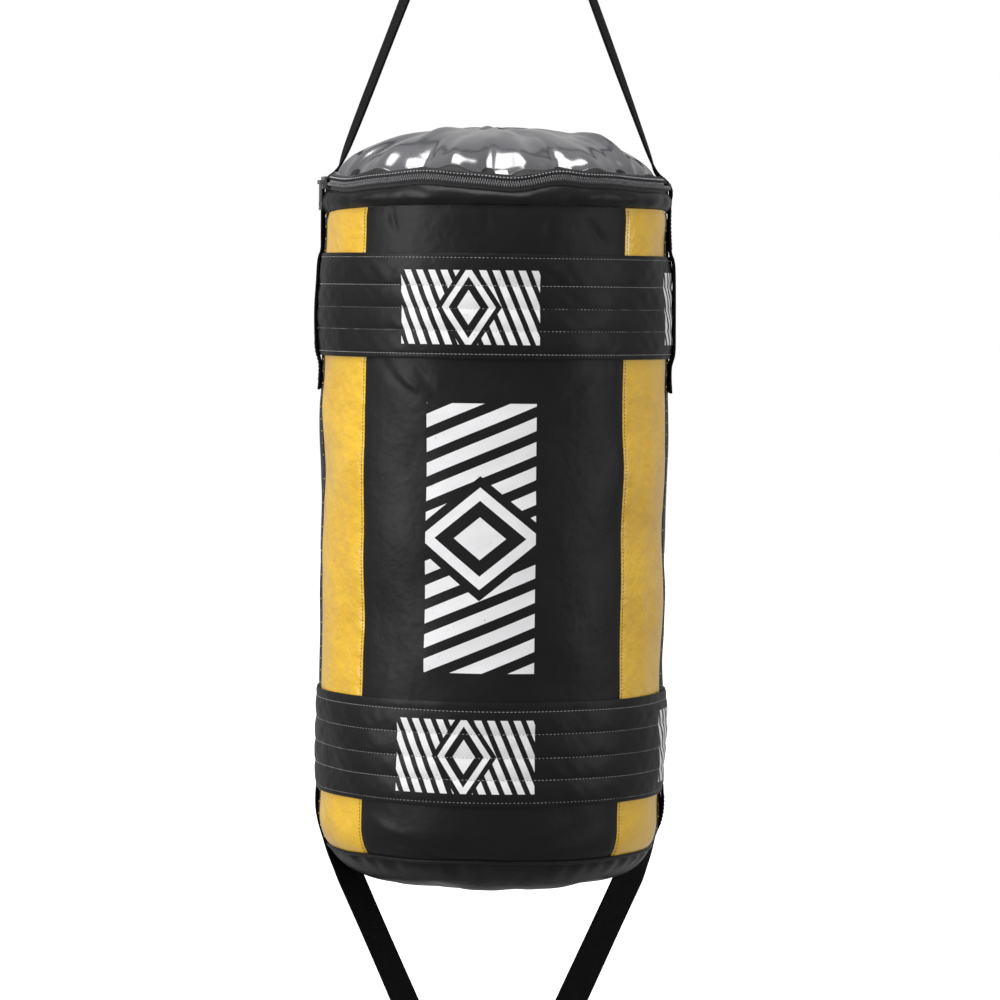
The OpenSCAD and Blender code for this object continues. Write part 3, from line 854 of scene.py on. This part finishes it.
# ---------------------------------------------------------------------------
# Collar and base: soft satin coated cloth. The collar is a full roll, puckered where it is sewn
# under the zip. The base is one round piece drawn over the bottom pad and sewn in with a piping.

SATIN_BLACK = vinyl("satin_black_vinyl", BLACK_LOW, BLACK_HIGH, {"Specular IOR Level": 0.18}, (0.30, 0.44))
TURN = np.linspace(0, WHOLE, 449)
PUCKER = soft_noise(21, 40, 12, 46)
GATHER = soft_noise(22, 30, 5, 18)


def whole_turn(piece, closed=False):
    """Joins the two ends of a sheet that goes right round; a closed tube also has its faces turned out."""
    pick(piece)
    bpy.ops.object.mode_set(mode="EDIT")
    bpy.ops.mesh.select_all(action="SELECT")
    bpy.ops.mesh.remove_doubles(threshold=WELD)
    if closed:
        bpy.ops.mesh.normals_make_consistent(inside=False)
    bpy.ops.object.mode_set(mode="OBJECT")
    return piece


# Waves of the zip: place round and half width in degrees, rise.
WAVES = [(-58, 11, -0.0030), (-24, 11, 0.0032), (5, 8, -0.0024), (21, 8, 0.0038), (38, 10, 0.0018)]


def zip_wave(angle):
    """Rise and fall of the zip as the gathered cloth pulls it."""
    away = away_from(angle, 0)
    total = 0 * away
    for at, width, height in WAVES:
        total = total + height * np.exp(-((np.degrees(away) - at) / width) ** 2)
    return total


def waved(points, angle, part):
    """Moves points up by the zip's wave, where part is 1 at the zip and 0 where it has died away."""
    points[..., 2] += zip_wave(angle) * part
    return points


def collar():
    rows = np.linspace(0.0002, PANEL_RUN[0] - SEAM_GAP, 22)

    def place(angle, run):
        part = run / PANEL_RUN[0]
        roll = np.sin(math.pi * np.clip(part, 0, 1)) ** 0.7
        pucker = PUCKER(angle, run * 0.4) * 0.0006 * (0.35 + part) + GATHER(angle, run) * 0.0008
        lift = roll * (0.0030 + pucker) - 0.0016 * (1 - roll)
        point = waved(on_bag(angle, run, lift), angle, 1 - np.clip(part, 0, 1))
        point[..., 2] -= collar_seam_droop(angle) * part
        return point

    ring = whole_turn(sheet_of("collar_roll", TURN, rows, place))
    thicken(ring, COVER_T)
    ring.data.materials.append(SATIN_BLACK)
    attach(tidy_shape(ring), "bag")
    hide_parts("collar")


def close_middle(piece, radius):
    """Fills the small hole that a round sheet leaves at its middle."""
    pick(piece)
    bpy.ops.object.mode_set(mode="EDIT")
    bpy.ops.mesh.select_mode(type="EDGE")
    bpy.ops.mesh.select_all(action="DESELECT")
    bpy.ops.object.mode_set(mode="OBJECT")
    inner = {v.index for v in piece.data.vertices if math.hypot(v.co.x, v.co.y) < radius}
    for edge in piece.data.edges:
        edge.select = edge.vertices[0] in inner and edge.vertices[1] in inner
    bpy.ops.object.mode_set(mode="EDIT")
    bpy.ops.mesh.edge_face_add()
    bpy.ops.object.mode_set(mode="OBJECT")
    return piece


def base_cover():
    rows = np.concatenate([np.linspace(PANEL_RUN[1] + 2 * SEAM_GAP, SIDE_RUN + EDGE_RUN, 22),
                           np.linspace(SIDE_RUN + EDGE_RUN, FULL_RUN - 0.0005, 32)[1:]])

    def place(angle, run):
        past = run - PANEL_RUN[1]
        drawn = np.exp(-(past / 0.016) ** 2) * PUCKER(angle, run * 0.15) * 0.0007
        point = on_bag(angle, run, drawn - 0.0016 * np.exp(-(past / 0.0035) ** 2))
        level = np.clip((FULL_RUN - run) / 0.03, 0, 1)
        point[..., 2] = point[..., 2] * level + BASE_Z * (1 - level)
        return point

    cap = close_middle(whole_turn(sheet_of("base_cover", TURN, rows, place)), 0.0015)
    thicken(cap, COVER_T)
    cap.data.materials.append(SATIN_BLACK)
    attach(tidy_shape(cap), "bag")
    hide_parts("base_cap")


def base_piping():
    """A covered cord that follows the seam between the panels and the base."""
    bead = 0.0019
    around = np.linspace(0, WHOLE, 13)

    def place(angle, turn):
        run = PANEL_RUN[1] + SEAM_GAP + bead * np.cos(turn)
        return on_bag(angle, run, bead * np.sin(turn) - 0.0010)

    cord = whole_turn(sheet_of("base_piping", TURN, around, place), closed=True)
    cord.data.materials.append(SATIN_BLACK)
    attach(tidy_shape(cord), "bag")
    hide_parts("base_seam_cord")


collar()
base_cover()
base_piping()


# ---------------------------------------------------------------------------
# Quilted bands: two belts of padded black coated cloth round the bag, closed behind the left
# strap. Five rows of grey stitching draw each belt in and leave low soft ridges between them.

BAND_START = -math.pi / 2
BAND_ANGLES = np.linspace(BAND_START, BAND_START + WHOLE, 481)
BAND_PUFF, BAND_FLOOR = 0.0012, 0.0020
UPPER_ROWS = (0.0636, 0.0868, 0.1060, 0.1245, 0.1440)
LOWER_ROWS = (0.4428, 0.4620, 0.4820, 0.5005, 0.5195)
QUILT = soft_noise(31, 60, 14, 60)


BAND_PRINT = 0.118, 0.062


def band_print(centre_drop):
    """Marks a belt with the motif in front, at its right and behind."""
    def mark(u, v):
        repeat, first = 1.79, -0.146
        turn = (u - first) / repeat + 0.5
        along = (turn.fract() - 0.5) * (repeat * BAG_R)
        here = (u > -0.9) * (u < 4.0)
        up = (v - run_at(ZIP_Z - centre_drop)) * -1
        return barred_motif(along, up, *BAND_PRINT) * here
    return mark


def band_height(run, drops, top, bottom):
    """Lift of a belt over the cover: low at its rows of stitches, full between them."""
    lines = [run_at(ZIP_Z - d) for d in drops]
    stops = [top] + lines + [bottom]
    lift = np.zeros_like(run)
    for a, b in zip(stops[:-1], stops[1:]):
        part = np.clip((run - a) / (b - a), 0, 1)
        inside = (run >= a) & (run <= b)
        full = BAND_PUFF * (0.35 if (a == top or b == bottom) else 1.0)
        lift = np.where(inside, full * np.sin(math.pi * part) ** 0.55, lift)
    return BAND_FLOOR + lift


def quilted_band(name, drops, node, centre_drop):
    high, low = (run_at(z.z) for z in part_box(node)[::-1])
    rows = np.linspace(high, low, 67)

    def place(angle, run):
        puff = band_height(run, drops, high, low)
        soft = QUILT(angle, run) * 0.16 * (puff - BAND_FLOOR)
        edge = np.exp(-((np.minimum(run - high, low - run)) / 0.0015) ** 2) * 0.0003
        return on_bag(angle, run, puff + soft - edge)

    band = whole_turn(sheet_of(name, BAND_ANGLES, rows, place))
    thicken(band, 0.0018)
    band.data.materials.append(vinyl(name + "_vinyl", BLACK_LOW, BLACK_HIGH, BLACK_PLAIN, (0.34, 0.48),
                                     mark=band_print(centre_drop)))
    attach(tidy_shape(band), "bag")
    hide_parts(node)
    sewn = []
    for drop in drops:
        run = np.full(len(BAND_ANGLES), run_at(ZIP_Z - drop))
        sewn.append(stitch_row(*bag_line(BAND_ANGLES, run, BAND_FLOOR), *QUILTING))
    sew(name + "_stitching", sewn, GREY_THREAD)


quilted_band("upper_quilted_band", UPPER_ROWS, "upper_band", 0.105)
quilted_band("lower_quilted_band", LOWER_ROWS, "lower_band", 0.481)


# ---------------------------------------------------------------------------
# Zip: black woven tape above and below, with a coil of teeth along each. It runs round the front
# between the two straps, and its slider is parked at the left end.

ZIP_HALF = math.radians(81)
FLAP_HALF = math.radians(71.5)
TEETH_OUT = 0.1503
TAPE_OUT = 0.1479


def tape_cloth():
    tape = Finish("zip_tape_cloth", {"Roughness": 0.78, "Sheen Weight": 0.2})
    u = tape.uv("cloth")[0]
    rib = (u * (BAG_R * 5200)).sin().abs()
    fuzz = tape.noise(700, 3, 0.6)
    tone = tape.blend((rib * 0.5 + fuzz * 0.5).kept(), (0.008, 0.008, 0.009, 1), (0.030, 0.030, 0.032, 1))
    return tape.set(colour=tone, normal=tape.bump(rib + fuzz * 0.4, 0.00025))


def coil_plastic():
    coil = Finish("zip_coil_plastic", {"Specular IOR Level": 0.6})
    # The coil is black plastic; its pale grey speckle is painted glints, standing in for highlights on the
    # teeth.
    pale_marks = coil.noise(340, 4, 0.6)
    tone = coil.blend(pale_marks, (0.012, 0.012, 0.013, 1), (0.20, 0.20, 0.21, 1))
    return coil.set(colour=tone, roughness=0.20 + pale_marks * 0.2, normal=coil.bump(pale_marks, 0.0001))


def slider_metal():
    metal = Finish("dark_nickel", {"Metallic": 1.0})
    cloud = metal.noise(240, 4, 0.6)
    chipped = metal.ramp(metal.noise(520, 5, 0.7), 0.56, 0.66)
    tone = metal.blend(cloud, (0.16, 0.16, 0.17, 1), (0.30, 0.30, 0.31, 1))
    tone = metal.blend(chipped * 0.6, tone, (0.62, 0.60, 0.55, 1))
    return metal.set(colour=tone, roughness=0.24 + cloud * 0.16, normal=metal.bump(cloud, 0.00005))


TAPE, COIL = tape_cloth(), coil_plastic()


def zip_tape(name, half, low, high, body, node):
    columns = np.linspace(-half, half, 241)
    rows = np.linspace(high, low, 8)

    def place(angle, drop):
        rib = 0.0002 * np.sin(angle * 340)
        return waved(at_angle(angle, TAPE_OUT + rib, ZIP_Z + drop), angle, 1)

    tape = sheet_of(name, columns, rows, place)
    thicken(tape, 0.0009)
    tape.data.materials.append(TAPE)
    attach(tidy_shape(tape), body)
    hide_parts(node)


def zip_coil(name, half, up, body, node):
    """A row of coil turns, each a bead that reaches a little past the zip's middle line."""
    pitch = 0.0021 / TEETH_OUT
    angle = np.arange(-int(half / pitch), int(half / pitch)) * pitch + (pitch / 2 if up > 0 else 0)
    middle = waved(at_angle(angle, TEETH_OUT, ZIP_Z + up * 0.0011 + 0 * angle), angle, 1)
    outward = at_angle(angle, 1.0, 0 * angle)
    ahead = np.tile([0.0, 0.0, 1.0], (len(angle), 1))
    row = sew(name, [(middle, ahead, outward, 0.0036, 0.0015)], COIL, body)
    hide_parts(node)


zip_tape("lower_zip_tape", ZIP_HALF, -0.012, -0.0004, "bag", "zip_tape_lower")
zip_tape("upper_zip_tape", FLAP_HALF, 0.0004, 0.008, "lid", "zip_tape_upper")
zip_coil("lower_zip_coil", ZIP_HALF, -1, "bag", "zip_teeth_lower")
zip_coil("upper_zip_coil", FLAP_HALF, 1, "lid", "zip_teeth_upper")
NICKEL = slider_metal()
for part in ("zip_stops", "zip_slider", "zip_pull"):
    dress(part, NICKEL)


# ---------------------------------------------------------------------------
# Lid: one round piece of thin shiny coated cloth, gathered into a dull hem over the zip, so it
# stands in soft lobes over the filling. On the bag its front half folds up and the back is sewn to
# the collar; here the lid is one whole piece, left in place.

LID_R = 0.1493
LID_HEM = 0.0072
LID_RUNS = np.linspace(0.012, 1.0, 40)
FLANGE = 0.965
DOME_R = 0.1395
STRAP_DIP = 0.0064
CRUMPLE_CAP = 0.008


def turned_by(angle, at):
    """How far round an angle is from a place given in degrees."""
    return away_from(angle, math.radians(at))


def under_straps(angle):
    """1 where the webbing crosses the lid's edge, 0 elsewhere."""
    return sum(np.exp(-(turned_by(angle, at) / 0.20) ** 4) for at in (90, -90))


def lid_hem(angle):
    return LID_HEM - STRAP_DIP * under_straps(angle)


def lid_skirt(angle):
    """How far the lid's edge reaches below its hem: a little over the zip, to the collar behind."""
    away = np.abs(turned_by(angle, 0))
    part = np.clip((away - ZIP_HALF - 0.01) / 0.06, 0, 1)
    front = lid_hem(angle) - 0.0036
    return front + (part * part * (3 - 2 * part)) * 0.0088


def bare_lid(angle, run):
    """The lid before it crumples: a stuffed dome, a narrow flange, and a hem down over the zip."""
    over = np.clip(run / FLANGE, 0, 1)
    radius = LID_R * over - 0.0006 * under_straps(angle) * over
    hem_z = lid_hem(angle)
    inside = np.clip(radius / DOME_R, 0, 1)
    crown = (LID_RISE - 0.0010 - LID_HEM) * (1 - np.clip(inside, 0, 0.9999) ** 2.6) ** 0.62
    hem = np.clip((run - FLANGE) / (1 - FLANGE), 0, 1)
    round_off = 0.0012 * np.clip((over - 0.97) / 0.03, 0, 1) ** 2
    z = ZIP_Z + hem_z + crown - round_off - hem * lid_skirt(angle)
    return at_angle(angle, radius + 0.0006 * hem, z)


def lid_normals(angle, run):
    step = 0.006
    along = bare_lid(angle, np.minimum(run + step, 0.995)) - bare_lid(angle, np.maximum(run - step, 0.004))
    around = bare_lid(angle + 0.01, run) - bare_lid(angle - 0.01, run)
    normal = np.cross(along, around)
    return normal / np.maximum(np.linalg.norm(normal, axis=-1, keepdims=True), 1e-9)


LID_ROUGH = soft_noise(41, 30, 4, 18)
LID_PLEATS = soft_noise(42, 24, 16, 44)


def crumpled_lid():
    """Outward shift of the lid's cloth, from too much cloth settling on the filling."""
    angle, run = np.meshgrid(SIM_ANGLES, LID_RUNS)
    bare, out = bare_lid(angle, run), lid_normals(angle, run)
    rough = LID_ROUGH(angle, run * 0.15) * 0.0014 + lid_gathers(angle, run) * 0.5
    start = bare + out * rough[..., None]
    centre = np.array([0, 0, ZIP_Z + LID_HEM])
    rest = centre + (start - centre) * 1.030
    index = np.arange(start[..., 0].size).reshape(start.shape[:2])
    side = np.roll(index, -1, 1)
    faces = np.stack([index[:-1], index[1:], side[1:], side[:-1]], -1).reshape(-1, 4).tolist()
    faces.append(index[0][::-1].tolist())
    piece = made_of("lid_cloth", start, faces)
    held = (run > 0.93) * 1.0
    settled = settle(piece, held.ravel(), rest.reshape(-1, 3), 1.6, 2.5, 20).reshape(start.shape)
    shift = ((settled - bare) * out).sum(-1) - rough
    return SIM_ANGLES, LID_RUNS, np.clip(shift, -CRUMPLE_CAP, CRUMPLE_CAP)


# Lobes and the tucks between them: place round in degrees, half width in metres, height, reach in.
LID_LOBES = [(-62, 0.0075, -0.0046, 0.30), (-45, 0.015, 0.0046, 0.36), (-28, 0.0080, -0.0056, 0.34),
             (-15, 0.013, 0.0052, 0.40), (-3, 0.0075, -0.0050, 0.30), (9, 0.012, 0.0048, 0.34),
             (23, 0.0080, -0.0052, 0.42), (36, 0.014, 0.0036, 0.30), (50, 0.0070, -0.0034, 0.30),
             (64, 0.012, 0.0030, 0.26), (-76, 0.009, 0.0026, 0.22), (76, 0.006, -0.0020, 0.22),
             (108, 0.013, 0.0040, 0.34), (122, 0.008, -0.0046, 0.30), (138, 0.015, 0.0046, 0.40),
             (153, 0.008, -0.0050, 0.36), (168, 0.013, 0.0042, 0.34), (181, 0.008, -0.0048, 0.32),
             (196, 0.015, 0.0048, 0.40), (211, 0.008, -0.0044, 0.30), (226, 0.014, 0.0042, 0.36),
             (240, 0.008, -0.0046, 0.32), (253, 0.012, 0.0036, 0.28)]
# Longer folds over the crown: middle x and y, turn from +X, half length, half width, height.
LID_RIDGES = [
    (0.089, -0.044, -0.95, 0.036, 0.0042, 0.0058), (0.072, -0.052, -0.92, 0.032, 0.0080, -0.0040),
    (0.108, -0.030, -0.85, 0.030, 0.0090, -0.0024), (0.018, -0.070, 1.9, 0.030, 0.0080, -0.0034),
    (-0.050, -0.062, 1.0, 0.030, 0.0075, 0.0034), (-0.088, -0.050, 0.6, 0.026, 0.0080, -0.0030),
    (-0.020, -0.058, 1.3, 0.028, 0.0080, -0.0026), (0.000, 0.020, 0.2, 0.050, 0.0120, 0.0020),
    (0.060, 0.070, 0.9, 0.034, 0.0075, 0.0036), (-0.060, 0.075, 2.2, 0.034, 0.0070, 0.0036),
    (0.005, 0.090, 1.5, 0.030, 0.0075, -0.0034), (-0.010, -0.020, 2.9, 0.040, 0.0100, -0.0022),
]


def lid_gathers(angle, run):
    """Lobes and tucks where the lid is gathered into its hem."""
    total = 0
    for at, width, height, reach in LID_LOBES:
        away = turned_by(angle, at) * LID_R
        radial = np.clip((run - (0.93 - reach)) / reach, 0, 1) ** 1.1
        end = np.clip((0.985 - run) / 0.05, 0, 1)
        total = total + height * radial * end * np.exp(-(away / (width * (0.55 + 0.45 * run))) ** 2)
    return total


def lid_shift(angle, run):
    """Everything that lifts the lid's cloth off its plain dome, kept flat under the straps."""
    point = bare_lid(angle, run)
    total = looked_up(CRUMPLE, angle, run) + lid_gathers(angle, run)
    x, y = point[..., 0], point[..., 1]
    for at_x, at_y, turn, length, width, height in LID_RIDGES:
        along = (x - at_x) * math.cos(turn) + (y - at_y) * math.sin(turn)
        across = -(x - at_x) * math.sin(turn) + (y - at_y) * math.cos(turn)
        total = total + height * np.exp(-(along / length) ** 2 - (across / width) ** 2)
    edge = np.clip((run - 0.6) / 0.33, 0, 1)
    total = total + 0.0009 * edge * LID_PLEATS(angle, run * 0.02) + LID_ROUGH(angle, run * 0.15) * 0.0008
    near_strap = np.exp(-((np.abs(y) / 0.027) ** 4)) * np.clip((np.abs(x) - 0.095) / 0.02, 0, 1)
    near_edge = np.clip((FLANGE + 0.015 - run) / 0.05, 0, 1)
    total = np.clip(total, -0.009, 0.0095) * (1 - near_strap * 0.92) * (0.06 + 0.94 * near_edge)
    return total - near_strap * 0.0008


def lid_cloth():
    """Shiny coated cloth whose edge is the dull backing of its hem; in each tuck the dark dull part reaches
    further up, as painted shade in the fold.
    """
    skin = Finish("lid_gloss_vinyl", {"Specular IOR Level": 0.3, "Coat Roughness": 0.17, "Coat IOR": 2.0})
    u, v = skin.uv("cloth")
    smear = skin.noise(16, 3, 0.5)
    wrinkle = skin.noise(42, 3, 0.5)
    lined = (u * 420).sin() * 0.5 + 0.5
    dull_from = 0.935
    dull = v > dull_from
    # The dull hem band is real; where it rises into each tuck it is painted shade that darkens the fold.
    for at, width, height, _ in LID_LOBES:
        if height < -0.003:
            away = (u - math.radians(at % 360)).abs() * (LID_R / (width * 1.5))
            tuck_shade_reach = (1 - away * away).most(0.0) * 0.055
            dull = dull.most(v > (dull_from - tuck_shade_reach))
    dust = skin.ramp(skin.noise(45, 6, 0.7), 0.60, 0.76)
    # The grey lid tone is partly the cloth's gunmetal colour and partly painted reflection of the room.
    tone = skin.blend(smear, (0.026, 0.026, 0.030, 1), (0.080, 0.081, 0.090, 1))
    tone = skin.blend(dust * 0.15, tone, (0.07, 0.07, 0.07, 1))
    # Dark dull hem, with painted shade where it reaches up into the tucks.
    tone = skin.blend(dull, tone, (0.0075, 0.0075, 0.008, 1))
    bump = skin.bump(skin.cells(800) * 0.4 + lined * dull, 0.00008, 0.5, skin.bump(wrinkle, 0.0020, 0.22))
    shine = (0.13 + smear * 0.10 + dust * 0.08) * (1 - dull) + dull * 0.62
    return skin.set(colour=tone, roughness=shine, normal=bump, coat=1 - dull)


CRUMPLE = crumpled_lid()


def lid_cover():
    rows = np.concatenate([np.linspace(0.006, 0.70, 36), np.linspace(0.70, 0.94, 26)[1:],
                           np.linspace(0.94, 1.0, 16)[1:]])

    def place(angle, run):
        point = bare_lid(angle, run) + lid_normals(angle, run) * lid_shift(angle, run)[..., None]
        return waved(point, angle, np.clip((run - 0.82) / 0.13, 0, 1))

    lid = close_middle(whole_turn(sheet_of("gathered_lid", np.linspace(0, WHOLE, 601), rows, place)), 0.0016)
    thicken(lid, 0.0011)
    lid.data.materials.append(lid_cloth())
    tidy_shape(lid, 60)
    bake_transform(lid)
    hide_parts("lid_back", "lid_flap")


def hem_sewing():
    """One row of pale stitches along the hem over the zip, on the flap."""
    angle = np.linspace(-FLAP_HALF, FLAP_HALF, 400)
    points = waved(at_angle(angle, LID_R + 0.0010, ZIP_Z + lid_hem(angle) - 0.0020), angle, 1)
    outward = at_angle(angle, 1.0, 0 * angle)
    sew("lid_hem_stitching", [stitch_row(points, outward, *HEM_STITCH)], GREY_THREAD, "lid")


lid_cover()
hem_sewing()


# ---------------------------------------------------------------------------
# Webbing: one woven belt over the hanging ring's bar and down both sides, and one under the
# anchor ring's bar and up both sides. Each is sewn flat to the cover with boxed crosses.

WEB_W, WEB_T = 0.038, 0.0022
STRAP_OUT = 0.0001
BAR_R = 0.004
HANG_BAR = Vector((0, 0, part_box("hanging_ring")[0].z + BAR_R))
ANCHOR_BAR = Vector((0, 0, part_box("anchor_ring")[1].z - BAR_R))
BAR_WRAP = 0.0043 + WEB_T / 2
ANCHOR_TURN = math.radians(42)


def woven_belt(name):
    """Polyester webbing: twill ribs across, a denser selvedge, rubbed pale along its high yarns."""
    belt = Finish(name, {"Specular IOR Level": 0.08})
    u, v = belt.uv("cloth")
    rib = (v * 3900 + (u * 2300).sin() * 0.9).sin() * 0.5 + 0.5
    yarn = (u * 5200).sin().abs()
    selvedge = belt.ramp(u.abs(), WEB_W / 2 - 0.0028, WEB_W / 2 - 0.0020)
    fuzz = belt.noise(800, 3, 0.6)
    rubbed = belt.ramp(belt.noise(70, 5, 0.7), 0.52, 0.70)
    weave = rib * (1 - selvedge * 0.6) + yarn * 0.5
    raised = (weave * 0.45 + fuzz * 0.3).kept()
    tone = belt.blend(raised, (0.0008, 0.0008, 0.0009, 1), (0.0042, 0.0042, 0.0045, 1))
    tone = belt.blend(rubbed * weave * 0.15, tone, (0.030, 0.030, 0.030, 1))
    return belt.set(colour=tone, roughness=0.58 + fuzz * 0.2, normal=belt.bump(weave + fuzz * 0.3, 0.0005))


WEBBING = woven_belt("black_webbing")


def smooth_path(points, spacing=0.004, rounds=3):
    """Evenly spaced points on a path whose corners have been eased."""
    path = np.asarray(points, float)
    for _ in range(rounds):
        near, far = path[:-1] * 0.75 + path[1:] * 0.25, path[:-1] * 0.25 + path[1:] * 0.75
        path = np.concatenate([path[:1], np.stack([near, far], 1).reshape(-1, path.shape[1]), path[-1:]])
    length = np.concatenate([[0], np.cumsum(np.linalg.norm(np.diff(path[:, :3], axis=0), axis=1))])
    at = np.linspace(0, length[-1], int(length[-1] / spacing) + 1)
    return np.stack([np.interp(at, length, path[:, k]) for k in range(path.shape[1])], 1), at


def belt_sheet(name, route):
    """Webbing along a route of x, y, z and turn; the turn is that of its width from the Y axis."""
    path, far = smooth_path(route)
    ahead = np.gradient(path[:, :3], axis=0)
    ahead /= np.linalg.norm(ahead, axis=1, keepdims=True)
    wide = np.stack([np.sin(path[:, 3]), np.cos(path[:, 3]), 0 * path[:, 3]], 1)
    wide -= ahead * (wide * ahead).sum(1, keepdims=True)
    wide /= np.linalg.norm(wide, axis=1, keepdims=True)
    out = np.cross(ahead, wide)
    columns = np.linspace(-WEB_W / 2, WEB_W / 2, 13)

    def place(u, v):
        row = np.rint(v / far[-1] * (len(far) - 1)).astype(int)
        bow = 0.0003 * np.sin(v * 31 + 1) * (u / WEB_W * 2)
        return path[row, :3] + wide[row] * u[:, None] + out[row] * bow[:, None]

    belt = sheet_of(name, columns, far, place)
    thicken(belt, WEB_T, 0.0, 0.0005)
    belt.data.materials.append(WEBBING)
    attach(tidy_shape(belt, 50), "bag")
    outward = np.where(out[:, :1] * np.sign(path[:, :1]) > 0, out, -out)
    return belt, path, wide, outward, far


def arc(centre, radius, first, last, turn, count=9):
    """Points of an arc about a bar that lies across the given turn."""
    points = []
    for angle in np.radians(np.linspace(first, last, count)):
        out, up = radius * math.cos(angle), radius * math.sin(angle)
        points.append((centre.x + out * math.cos(turn), centre.y - out * math.sin(turn), centre.z + up, turn))
    return points


def face_of_bag(side, drops):
    """How far out the webbing's middle lies on the cover, at drops below the zip."""
    out = []
    for drop in drops:
        angle = side * np.linspace(math.radians(82.5), math.radians(97.5), 15)
        run = np.full(15, run_at(ZIP_Z - drop))
        over_band = -UPPER_BAND[1] - 0.002 < drop < -UPPER_BAND[0] + 0.002
        lift = BAND_FLOOR + BAND_PUFF if over_band else 0.0
        out.append((np.abs(on_bag(angle, run, lift)[:, 0]).max() + STRAP_OUT + WEB_T / 2, drop))
    return out


def box_cross(path, wide, out, far, start, end):
    """Stitches of a box with a cross in it, between two distances along a belt."""
    half = WEB_W / 2 - 0.0035
    corners = [(start, -half), (end, -half), (end, half), (start, half), (start, -half), (end, half),
               (end, -half), (start, half)]
    rows = []
    for (v0, u0), (v1, u1) in zip(corners[:-1], corners[1:]):
        part = np.linspace(0, 1, 14)
        v, u = v0 + (v1 - v0) * part, u0 + (u1 - u0) * part

        def on(values):
            return np.stack([np.interp(v, far, values[:, k]) for k in range(3)], 1)
        points = on(path[:, :3]) + on(wide) * u[:, None]
        rows.append(stitch_row(points + on(out) * (WEB_T / 2 - 0.0001), on(out), *BOX_STITCH))
    return rows


def hanging_side(side):
    """The webbing's middle from the lid's edge down one side to its loose tail."""
    drops = (0.012, 0.022, 0.034, 0.048, 0.058, 0.064, 0.085, 0.105, 0.125, 0.146, 0.153, 0.165)
    shoulder = [(0.1378, -0.0112), (0.1448, -0.0064), (0.1496, -0.0012), (0.1512, 0.005)]
    down = face_of_bag(side, drops)
    tail = [(down[-1][0] + 0.0010, 0.178)]
    return [(side * x, 0, ZIP_Z - drop, 0) for x, drop in shoulder + down + tail]


def hanging_webbing():
    side, left = hanging_side(1), hanging_side(-1)
    over = arc(HANG_BAR, BAR_WRAP, 20.8, 159.2, 0)
    foot, head = np.array(side[0]), np.array(over[0])

    def taut(most_turn):
        """The straight pull from the lid's edge to the ring; the webbing hangs a little turned."""
        return [tuple(foot + (head - foot) * t + [0, 0, 0, most_turn * math.sin(math.pi * t) ** 0.3])
                for t in np.linspace(0, 1, 24)[1:-1]]

    run_up = taut(math.radians(11))
    run_down = [(-x, y, z, -turn) for x, y, z, turn in taut(math.radians(15))[::-1]]
    route = side[::-1] + run_up + over + run_down + left
    belt, path, wide, outward, far = belt_sheet("hanging_webbing", route)
    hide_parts("strap_crown", "hanging_strap_left", "hanging_strap_right")
    rows = []
    for start in (0.008, 0.125):
        rows += box_cross(path, wide, outward, far, start, start + 0.034)
        rows += box_cross(path, wide, outward, far, far[-1] - start - 0.034, far[-1] - start)
    sew("hanging_webbing_stitching", rows, GREY_THREAD)


def anchor_webbing():
    top = -LOWER_BAND[0] - 0.006
    outline = [(x, drop, 0) for x, drop in face_of_bag(1, (top, top + 0.012, 0.532))]
    outline += [(0.1504, 0.541, 0), (0.1480, 0.553, 0.02), (0.1424, 0.566, 0.16), (0.1344, 0.580, 0.60),
                (0.1246, 0.595, 1.0)]
    under = arc(ANCHOR_BAR, BAR_WRAP, -18, -162, ANCHOR_TURN)
    start, last = np.array([outline[-1][0], 0, ZIP_Z - outline[-1][1], 0]), np.array(under[0])
    lead = np.array([-math.sin(math.radians(27)), 0, -math.cos(math.radians(27))])
    gap = np.linalg.norm(last[:3] - start[:3])

    def half_run(most_turn):
        """Down the base's edge, where the webbing turns, and straight to the bar, where it lies on it."""
        made = [(x, 0, ZIP_Z - drop, most_turn * part) for x, drop, part in outline]
        for t in np.linspace(0, 1, 22)[1:-1]:
            line = start[:3] + (last[:3] - start[:3]) * t
            bulge = lead * gap * 0.02 * t * (1 - t) ** 3
            late = max(t - 0.75, 0) / 0.25
            made.append((*(line + bulge), most_turn + (ANCHOR_TURN - most_turn) * late))
        return made

    descent = half_run(math.radians(47))
    ascent = [(-x, -y, z, turn) for x, y, z, turn in half_run(math.radians(32))]
    belt, path, wide, outward, far = belt_sheet("anchor_webbing", descent + under + ascent[::-1])
    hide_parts("anchor_strap_left", "anchor_strap_right", "anchor_crown")
    rows = box_cross(path, wide, outward, far, 0.010, 0.040)
    rows += box_cross(path, wide, outward, far, far[-1] - 0.040, far[-1] - 0.010)
    sew("anchor_webbing_stitching", rows, GREY_THREAD)


hanging_webbing()
anchor_webbing()
